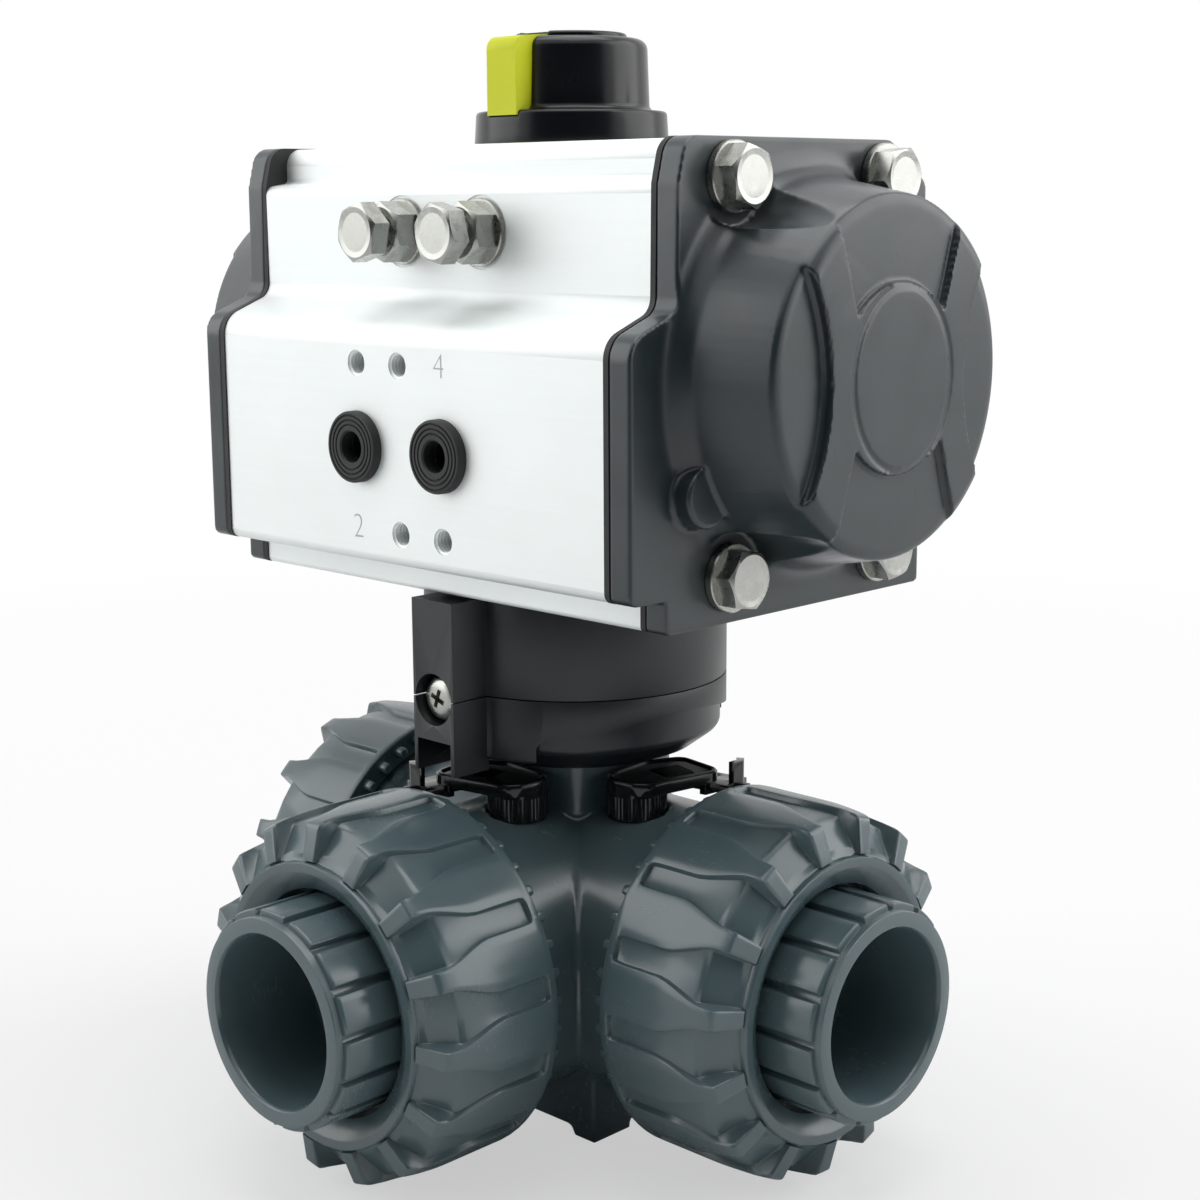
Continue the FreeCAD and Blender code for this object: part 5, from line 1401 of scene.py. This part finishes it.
@dataclass
class MountingModule:
    """The round two-part module under the actuator, with its pan-head lock screws."""

    finish: Finish = MODULE_BLACK
    screw_finish: Finish = STAINLESS
    edge: float = 0.5
    ear_reach: float = 39.5
    sink: float = 1.0
    parting: float = 54.3
    head: float = 4.4
    head_height: float = 3.0
    shank: float = 2.35
    length: float = 14.0
    recess: Point = (2.4, 0.55)
    recess_depth: float = 2.0
    recess_taper: Point = (0.45, 0.7)
    recess_turn: float = 20.0

    def screw(self) -> Mesh:
        """A cross-recessed pan-head screw pointing along +Z with its crown at the origin.

        Returns:
            The screw.
        """
        crown = [(0.0, 0.0), (1.6, 0.04), (2.9, 0.22), (3.8, 0.6), (4.25, 1.05), (self.head, 1.6),
                 (self.head, self.head_height), (self.shank, self.head_height),
                 (self.shank, self.head_height + self.length - 1.5), (0.0, self.head_height + self.length)]
        body = lathe("LockScrewBody", crown, segments=48, closed=False)
        for turned in (0.0, 90.0):
            arm = prism("CrossArm", oblong(*self.recess), -1.0, self.recess_depth)
            for vertex in arm.vertices:
                if vertex.co.z > 0:
                    vertex.co.x *= self.recess_taper[0]
                    vertex.co.y *= self.recess_taper[1]
            body = carved(body, moved(arm, turn("Z", turned + self.recess_turn)))
        return body

    def build(self) -> list[Piece]:
        """Make both halves and the screws through their ears.

        Returns:
            The halves and the screws.
        """
        pieces = []
        for half in ("lower", "upper"):
            shell = evaluated(node_twin(f"module_{half}_half"), bevel(self.edge))
            pieces.append(Piece(f"mounting_module_{half}", self.finish, Body.HOUSING.value,
                                (f"module_{half}_half",)).add(shell))
        screws = Piece("cross_recessed_lock_screws", self.screw_finish, Body.HOUSING.value,
                       ("module_lock_screws",))
        for way in (-1, 1):
            place = Matrix.Translation((0, way * (self.ear_reach - self.sink) * MM,
                                        DATUM.port_axis + self.parting * MM))
            screws.add(moved(self.screw(), place @ turn("X", 90.0 * way)))
        return pieces + [screws]


# Hexagon screws, nuts and washers

def hexagon(across: float, height: float, chamfer: float, dish: float, bore: float = 0.0,
            steps: int = 8) -> Mesh:
    """A hexagon head or nut whose top corners are turned away by a cone, as real ones are.

    Args:
        across: size across the flats.
        height: height above the seat at z 0.
        chamfer: how far the turned circle lies inside the flats.
        dish: depth of a shallow hollow in the top.
        bore: radius of the hole, or 0 for a head.
        steps: flats of the outline along each side of the hexagon.

    Returns:
        The mesh, standing on z 0 along +Z.
    """
    count = 6 * steps
    levels = 5 if bore else 4
    rings: list[list[tuple[float, float, float]]] = [[] for _ in range(levels)]
    circle = across / 2 - chamfer
    inner = bore if bore else circle * HEAD_DISH_SHARE
    for index in range(count):
        angle = FULL_TURN * index / count
        corner = math.remainder(angle, math.pi / 3)
        radius = across / 2 / math.cos(corner)
        fall = (radius - circle) * math.tan(math.radians(HEAD_CONE))
        for ring, (reach, level) in zip(rings, ((radius, 0.0), (radius, height - fall), (circle, height),
                                                (inner, height - dish), (inner, 0.0))):
            ring.append((reach * math.cos(angle), reach * math.sin(angle), level))
    faces = grid_faces(levels, count, close_rows=bool(bore))
    if not bore:
        faces += [tuple(range(3 * count, 4 * count)), tuple(reversed(range(count)))]
    return mesh_from("Hexagon", [point for ring in rings for point in ring], faces)


def washer(radius: float, bore: float, thickness: float) -> Mesh:
    """A flat washer on z 0 with slightly rounded edges.

    Args:
        radius: its outside radius.
        bore: radius of its hole.
        thickness: its height.

    Returns:
        The washer, along +Z.
    """
    edge = min(0.2, thickness / 4)
    return lathe("Washer", ((bore, 0.0), (radius - edge, 0.0), (radius, edge), (radius, thickness - edge),
                            (radius - edge, thickness), (bore + edge, thickness),
                            (bore, thickness - edge)), segments=64)


def threaded_rod(radius: float, length: float, pitch: float, material: bpy.types.Material) -> Mesh:
    """A screw's shank along -Z from z 0, with its crests laid out by the row tree.

    Args:
        radius: outside radius of the crests.
        length: length of the shank.
        pitch: distance between crests.
        material: what the screw is made of.

    Returns:
        The shank with its crests.
    """
    root = radius - 0.55 * pitch
    core = lathe("Shank", ((0.0, 0.0), (root, 0.0), (root, -length + 1.0), (root - 0.8, -length),
                           (0.0, -length)), segments=40, closed=False)
    crest = lathe("Crest", ((root - 0.05, -0.42 * pitch), (radius, -0.08 * pitch), (radius, 0.08 * pitch),
                            (root - 0.05, 0.42 * pitch)), segments=40)
    count = int((length - 1.2) / pitch)
    crests = repeated(row_tree, moved(crest, shift(z=-pitch / 2)), material, Count=count,
                      Step=(0.0, 0.0, -pitch * MM))
    return joined("Thread", [core, crests])


@dataclass
class CapFasteners:
    """The four hexagon screws and washers that hold one end cap."""

    side: Side
    finish: Finish = STAINLESS
    across: float = 43.2
    up: float = 70.2
    washer_radius: float = 6.3
    washer_bore: float = 3.2
    washer_thickness: float = 1.6
    hexagon_across: float = 10.0
    head: float = 4.0
    shank: float = 2.9
    length: float = 17.0
    pitch: float = 1.0
    turn_range: float = math.pi / 3
    seed: int = 4

    def meshes(self) -> list[Mesh]:
        """Screws and washers of this cap, seated on its plate.

        Returns:
            One mesh of the screws and one of the washers.
        """
        material = self.finish.material()
        disc = washer(self.washer_radius, self.washer_bore, self.washer_thickness)
        head = hexagon(self.hexagon_across, self.head, chamfer=0.3, dish=0.12)
        rod = threaded_rod(self.shank, self.length, self.pitch, material)
        screw = moved(joined("CapScrew", [head, rod]), shift(z=self.washer_thickness))
        place = Matrix.Translation((self.side.value * DATUM.cap_seat, 0, DATUM.bore_axis))
        sizes = {"Width": self.up * MM, "Height": self.across * MM, "Seed": self.seed}
        return [moved(repeated(corner_tree, mesh, material, Turn_Range=swing, **sizes),
                      place @ turn("Y", 90.0 * self.side.value))
                for mesh, swing in ((screw, self.turn_range), (disc, 0.0))]


@dataclass
class TravelStops:
    """Two adjusting screws with lock nuts and washers on the sloping front of the body."""

    finish: Finish = STAINLESS
    spacing: float = 22.2
    height: float = 69.0
    tip: float = 6.1
    reach: float = 47.0
    seat: float = 34.7
    across: float = 10.0
    head: float = 4.0
    radius: float = 2.95
    pitch: float = 1.0
    washer_radius: float = 6.3
    washer_bore: float = 3.2
    washer_thickness: float = 1.2
    nut_height: float = 5.0
    nut_bore: float = 3.0
    head_turns: Point = (15.0, 47.0)
    nut_turn: float = 4.0

    def place(self, side: Side, reach: float) -> Matrix:
        """A place on one stop's axis, with +Z pointing out of the front of the body.

        Args:
            side: which stop.
            reach: distance in front of the drive's axis.

        Returns:
            The matrix from the piece's own axes to the valve's.
        """
        spot = (side.value * self.spacing / 2 * MM, -reach * MM, DATUM.deck + self.height * MM)
        return Matrix.Translation(spot) @ turn("X", 90.0)

    def build(self) -> list[Piece]:
        """Make each screw on its own sliding body, and the nuts and washers on the housing.

        Returns:
            The two screws, the nuts and the washers.
        """
        material = self.finish.material()
        pieces = []
        nuts = Piece("travel_stop_lock_nuts", self.finish, Body.HOUSING.value, ("stop_lock_nuts",),
                     sharp_angle=25.0)
        discs = Piece("travel_stop_washers", self.finish, Body.HOUSING.value, ("stop_washers",))
        under_head = self.reach - self.head
        for side, swing in zip(Side, self.head_turns):
            head = moved(hexagon(self.across, self.head, chamfer=0.3, dish=0.12), turn("Z", swing))
            rod = threaded_rod(self.radius, under_head - self.tip, self.pitch, material)
            screw = Piece(f"travel_stop_screw_{side.label}", self.finish, f"stop_{side.label}",
                          (f"stop_screw_{side.label}",), sharp_angle=25.0)
            pieces.append(screw.add(*[moved(mesh, self.place(side, under_head)) for mesh in (head, rod)]))
            nut = hexagon(self.across, self.nut_height, chamfer=0.3, dish=0.15, bore=self.nut_bore)
            seat = self.place(side, self.seat + self.washer_thickness)
            nuts.add(moved(nut, seat @ turn("Z", self.nut_turn)))
            disc = washer(self.washer_radius, self.washer_bore, self.washer_thickness)
            discs.add(moved(disc, self.place(side, self.seat)))
        return pieces + [nuts, discs]


@dataclass
class AirPortRings:
    """The ribbed rubber rings round the two air ports."""

    finish: Finish = SEAL_RUBBER
    radius: float = 6.9
    bore: float = 3.0
    proud: float = 2.0
    seat: float = 1.0
    grooves: tuple[float, ...] = (6.1, 5.2, 4.3)

    def ring(self) -> Mesh:
        """One ring along +Z from the bottom of its seat, with shallow grooves in its face.

        Returns:
            The ring.
        """
        top = self.proud + self.seat
        section = [(self.bore, 0.0), (self.radius, 0.0), (self.radius, top - 0.35),
                   (self.radius - 0.1, top - 0.1), (self.radius - 0.35, top)]
        for groove in self.grooves:
            section += [(groove + 0.2, top), (groove + 0.08, top - 0.28), (groove - 0.08, top - 0.28),
                        (groove - 0.2, top)]
        section += [(self.bore + 0.3, top), (self.bore, top - 0.3)]
        return lathe("PortRing", section)

    def build(self) -> list[Piece]:
        """Seat the rings in the body's two spot faces.

        Returns:
            The two rings.
        """
        pieces = []
        for number, way in (("4", 1), ("2", -1)):
            place = front_spot(way * AIR_PORT_SPACING / 2, self.seat, AIR_PORT_RISE) @ turn("X", 90.0)
            piece = Piece(f"ribbed_port_ring_{number}", self.finish, Body.HOUSING.value,
                          (f"air_port_ring_{number}",), sharp_angle=28.0)
            pieces.append(piece.add(moved(self.ring(), place)))
        return pieces


@dataclass
class LockLever:
    """A nut's lock lever: raised rim and grip on its plate, ribs round the front of its drum."""

    port: Port
    finish: Finish = LEVER_BLACK
    pivot: Point = (22.5, -5.5)
    seat: float = 28.15
    throw: float = 10.0
    drum: float = 6.0
    drum_height: float = 5.6
    corners: tuple[tuple[float, float, float], ...] = (
        (-6.0, -6.0, 5.6), (6.0, -6.0, 5.6), (8.0, 0.0, 4.0), (12.4, 13.0, 3.0), (0.2, 17.5, 3.0),
        (-5.4, 10.0, 4.0))
    middle: Point = (2.6, 5.2)
    plate_top: float = 8.0
    edge: float = 0.3
    inset_share: float = 0.6
    rim_inset: float = 0.35
    rim: float = 1.1
    rim_height: float = 0.45
    rib_count: int = 46
    rib_radius: float = 0.26
    bars: int = 9
    bar: Point = (3.2, 0.2)
    bar_step: float = 0.75
    grip_start: Point = (0.6, 5.2)
    grip_turn: float = -24.0

    def outline(self, inset: float) -> list[Point]:
        """The plate's plan round its pivot, drawn in by an inset.

        Args:
            inset: how far inside the plate's edge it runs.

        Returns:
            The points of the plan.
        """
        middle = Vector(self.middle)
        plan = []
        for x, y, radius in self.corners:
            away = Vector((x, y)) - middle
            spot = middle + away * (1 - inset / away.length)
            plan.append((spot.x, spot.y, radius - inset * self.inset_share))
        return rounded(plan, steps=7)

    def rim_mesh(self) -> Mesh:
        """The rim that stands round the plate's top.

        Returns:
            A closed ring with rounded upper edges.
        """
        outer, inner = self.outline(self.rim_inset), self.outline(self.rim_inset + self.rim)
        low, high = self.plate_top - 0.3, self.plate_top + self.rim_height
        section = ((0.0, low), (0.0, high - 0.15), (0.3, high), (0.7, high), (1.0, high - 0.15), (1.0, low))
        points = [(*Vector(start).lerp(end, share), level)
                  for share, level in section for start, end in zip(outer, inner)]
        return mesh_from("LeverRim", points, grid_faces(len(section), len(outer)))

    def grip(self, material: bpy.types.Material) -> Mesh:
        """Low bars across the middle of the plate, for the thumb.

        Args:
            material: what the lever is made of.

        Returns:
            The bars.
        """
        block = prism("GripBar", oblong(*self.bar), self.plate_top - 0.1, self.plate_top + 0.3)
        bar = evaluated(block, bevel(0.12, segments=1, angle=30.0))
        bars = repeated(row_tree, bar, material, Count=self.bars, Step=(0.0, self.bar_step * MM, 0.0))
        return moved(bars, turn("Z", self.grip_turn) @ shift(*self.grip_start))

    def ribs(self, material: bpy.types.Material) -> Mesh:
        """Upright ribs round the drum.

        Args:
            material: what the lever is made of.

        Returns:
            The ribs.
        """
        rib = lathe("DrumRib", ((0.0, 0.4), (self.rib_radius, 0.6), (self.rib_radius, self.drum_height - 0.6),
                                (0.0, self.drum_height - 0.4)), segments=6, closed=False)
        return repeated(ring_tree, moved(rib, shift(self.drum - 0.12)), material, Count=self.rib_count)

    def build(self) -> list[Piece]:
        """Make the lever on its own turning body, right-handed or mirrored for its port.

        Returns:
            The lever, as one piece.
        """
        material = self.finish.material()
        place = Matrix.Translation((0, 0, DATUM.port_axis)) @ shift(*self.pivot, self.seat)
        extras = joined("LeverDetail", [self.rim_mesh(), self.grip(material), self.ribs(material)])
        moved(extras, place @ turn("Z", self.throw))
        mirror = {Port.RIGHT: Matrix.Identity(4), Port.LEFT: Matrix.Scale(-1, 4, (1, 0, 0)),
                  Port.BRANCH: Matrix.Scale(-1, 4, Vector((1, 1, 0)).normalized())}[self.port]
        base = evaluated(node_twin(f"lock_lever_{self.port.label}"), bevel(self.edge))
        piece = Piece(f"nut_lock_lever_{self.port.label}", self.finish, f"lever_{self.port.label}",
                      (f"lock_lever_{self.port.label}",), sharp_angle=35.0)
        return [piece.add(base, moved(extras, mirror))]


@dataclass
class Indicator:
    """The position indicator on top of the drive: flange, cap and yellow flag."""

    finish: Finish = INDICATOR_BLACK
    flag_finish: Finish = FLAG_YELLOW
    edge: float = 0.4
    cap_radius: float = 15.45
    collar: Point = (1.5, 1.3)
    collar_root: float = 0.4
    collar_steps: int = 6
    window_half: Point = (4.1, 15.0)
    window_rise: Point = (-5.0, 10.0)

    def foot_collar(self) -> Mesh:
        """The fillet that runs from the cover down to its flange, open where the pointer stands.

        Returns:
            The fillet, as an open ring.
        """
        reach, rise = self.collar
        root = self.cap_radius - self.collar_root
        angles = [math.pi / 2 * step / self.collar_steps for step in range(self.collar_steps + 1)]
        curve = [(self.cap_radius + reach * (1 - math.sin(angle)), rise * (1 - math.cos(angle)))
                 for angle in angles]
        ring = lathe("FootCollar", [(root, 0.0)] + curve + [(root, rise)])
        window = prism("PointerWindow", oblong(*self.window_half), *self.window_rise)
        moved(window, shift(y=-self.window_half[1]))
        return moved(carved(ring, window), Matrix.Translation((0, 0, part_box("indicator_cap")[0].z)))

    def build(self) -> list[Piece]:
        """Round the edges of each piece, which all turn with the drive.

        Returns:
            The flange, the cover and the pointer.
        """
        pieces = []
        for node, name, finish in (("indicator_base", "indicator_flange", self.finish),
                                   ("indicator_cap", "indicator_cover", self.finish),
                                   ("indicator_flag", "indicator_pointer", self.flag_finish)):
            shell = evaluated(node_twin(node), bevel(self.edge, segments=3))
            pieces.append(Piece(name, finish, Body.DRIVE.value, (node,)).add(shell))
        pieces[1].add(self.foot_collar())
        return pieces


@dataclass
class InnerParts:
    """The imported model's own shapes that stay as they are, dressed in the same finishes."""

    finishes: tuple[Finish, ...] = (
        PIPE_GREY, MODULE_BLACK, LEVER_BLACK, INDICATOR_BLACK, FLAG_YELLOW, SEAT_WHITE, SILVER_ANODISED,
        CAP_COATING, STAINLESS, DRIVE_STEEL, PISTON_ALLOY, INSERT_BRASS, SEAL_RUBBER)

    def dress(self) -> None:
        """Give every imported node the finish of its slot."""
        by_slot = {finish.slot: finish for finish in self.finishes}
        for part in frame["record"]["subparts"]:
            node = frame["nodes"][part["node"]]
            material = by_slot[part["material_slot"]].material()
            node.data.materials.clear()
            node.data.materials.append(material)
            log.info("%s: dressed in %s", part["node"], material.name)


@dataclass
class Studio:
    """Pale floor, white surroundings, soft lamps and the photograph's view.

    The eye and the lamps are placed in millimetres, the floor and the card in metres.
    """

    eye: tuple[float, float, float] = (299.98, -299.72, 189.32)
    azimuth: float = 44.341
    elevation: float = 10.921
    roll: float = -0.336
    lens: float = 62.523
    sensor: float = 36.0
    aim: float = 110.0
    floor_half: float = 6.0
    floor_share: float = 0.45
    floor_fade: Point = (0.12, 0.7)
    surround: float = 0.42
    card_reach: float = 1.7
    card_half: float = 50.0
    card_top: float = 1.3
    card_steps: int = 24
    lamps: tuple[tuple[str, tuple[float, float, float], float, float], ...] = (
        ("left_box", (-950.0, -920.0, 720.0), 1.3, 8.6),
        ("right_box", (910.0, 950.0, 720.0), 1.3, 11.0),
        ("top_box", (0.0, 60.0, 1150.0), 0.9, 6.0),
    )

    def camera(self) -> None:
        """Set the camera where the photograph was taken from."""
        away, rise, roll = (math.radians(value) for value in (self.azimuth, self.elevation, self.roll))
        back = Vector((math.sin(away) * math.cos(rise), -math.cos(away) * math.cos(rise), math.sin(rise)))
        level = Vector((math.cos(away), math.sin(away), 0.0))
        upright = back.cross(level)
        right = level * math.cos(roll) + upright * math.sin(roll)
        up = upright * math.cos(roll) - level * math.sin(roll)
        data = bpy.data.cameras.new("PhotoCamera")
        data.lens, data.sensor_width, data.sensor_fit = self.lens, self.sensor, "HORIZONTAL"
        camera = shown("PhotoCamera", data)
        camera.matrix_world = shift(*self.eye) @ Matrix((right, up, back)).transposed().to_4x4()
        bpy.context.scene.camera = camera

    def floor(self) -> None:
        """Lay a pale floor that fades into the white surroundings away from the valve."""
        shade = Shade("pale_floor")
        seen = shade.node("ShaderNodeLightPath", {}).outputs["Is Camera Ray"]
        reach = shade.node("ShaderNodeVectorMath", {0: shade.where}, operation="LENGTH").outputs["Value"]
        near = shade.span(reach, self.floor_share, 0.0, self.floor_fade)
        share = shade.maths("MAXIMUM", near, shade.maths("SUBTRACT", 1.0, seen))
        speck = shade.span(shade.noise(3.0, detail=4.0), 0.80, 0.83)
        shade.put(Base_Color=shade.blend(speck, (0.8, 0.8, 0.8), (0.86, 0.86, 0.86)), Roughness=0.8)
        glow = shade.node("ShaderNodeEmission", {"Color": WHITE, "Strength": 1.0})
        mix = shade.node("ShaderNodeMixShader", {0: share, 1: glow.outputs[0], 2: shade.surface.outputs[0]})
        shade.fill(shade.nodes["Material Output"].inputs["Surface"], mix.outputs[0])
        corners = [(x, y, 0.0) for x, y in oblong(self.floor_half, self.floor_half)]
        mesh = bpy.data.meshes.new("Floor")
        mesh.from_pydata(corners, [], [(0, 1, 2, 3)])
        mesh.materials.append(shade.material)
        shown("Floor", mesh)

    def card(self) -> None:
        """Stand a dark cloth behind the camera, hidden from it, for the blacks of the reflections."""
        shade = Shade("dark_card")
        cloth = shade.span(shade.noise(12.0, detail=3.0))
        shade.put(Base_Color=shade.blend(cloth, (0.010, 0.010, 0.011), (0.014, 0.014, 0.015)), Roughness=1.0)
        points = []
        for step in range(self.card_steps + 1):
            angle = math.radians(self.azimuth + self.card_half * (2 * step / self.card_steps - 1))
            points += [(self.card_reach * math.sin(angle), -self.card_reach * math.cos(angle), height)
                       for height in (0.0, self.card_top)]
        mesh = bpy.data.meshes.new("DarkCard")
        mesh.from_pydata(points, [], [(here, here + 2, here + 3, here + 1)
                                      for here in range(0, 2 * self.card_steps, 2)])
        mesh.materials.append(shade.material)
        card = shown("DarkCard", mesh)
        card.visible_camera = False

    def world(self) -> None:
        """White where the camera or a reflection looks, softer as a light."""
        world = bpy.data.worlds.new("WhiteSurround")
        world.use_nodes = True
        graph = Graph(world.node_tree)
        rays = graph.node("ShaderNodeLightPath", {}).outputs
        sight = graph.maths("MAXIMUM", rays["Is Camera Ray"], rays["Is Glossy Ray"])
        sight = graph.maths("MAXIMUM", sight, rays["Is Transmission Ray"])
        spread = graph.node("ShaderNodeMapRange", {"Value": sight, "To Min": self.surround})
        background = graph.nodes["Background"].inputs
        graph.fill(background["Strength"], spread.outputs[0])
        graph.fill(background["Color"], WHITE)
        bpy.context.scene.world = world

    def light(self) -> None:
        """Hang the soft lamps, each turned to the middle of the valve."""
        for name, place, size, power in self.lamps:
            data = bpy.data.lights.new(name, "AREA")
            data.shape, data.size, data.energy = "SQUARE", size, power
            lamp = shown(name, data)
            lamp.visible_camera = False
            aim = (Vector((0.0, 0.0, self.aim)) - Vector(place)).to_track_quat("-Z", "Y")
            lamp.matrix_world = shift(*place) @ aim.to_matrix().to_4x4()

    def build(self) -> None:
        """Set the whole scene round the valve."""
        self.floor()
        self.world()
        self.card()
        self.light()
        self.camera()
        bpy.context.scene.view_settings.view_transform = "Standard"


def main() -> None:
    """Build every sub-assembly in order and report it."""
    logging.basicConfig(level=logging.INFO, format="%(name)s: %(message)s")
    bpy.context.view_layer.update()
    InnerParts().dress()
    pieces: list[Piece] = ValveBody().build()
    for port in Port:
        pieces += UnionNut(port).build() + EndConnector(port).build() + LockLever(port).build()
    for assembly in (MountingModule(), ActuatorBody(), AirPortRings(), TravelStops()):
        pieces += assembly.build()
    screws = Piece("end_cap_screws_and_washers", STAINLESS, Body.HOUSING.value,
                   ("cap_screws", "cap_screw_washers"), sharp_angle=25.0)
    for side in Side:
        pieces += EndCap(side).build()
        screws.add(*CapFasteners(side).meshes())
    pieces += [screws] + Indicator().build()
    for piece in pieces:
        piece.place()
    Studio().build()


if __name__ == "__main__":
    main()
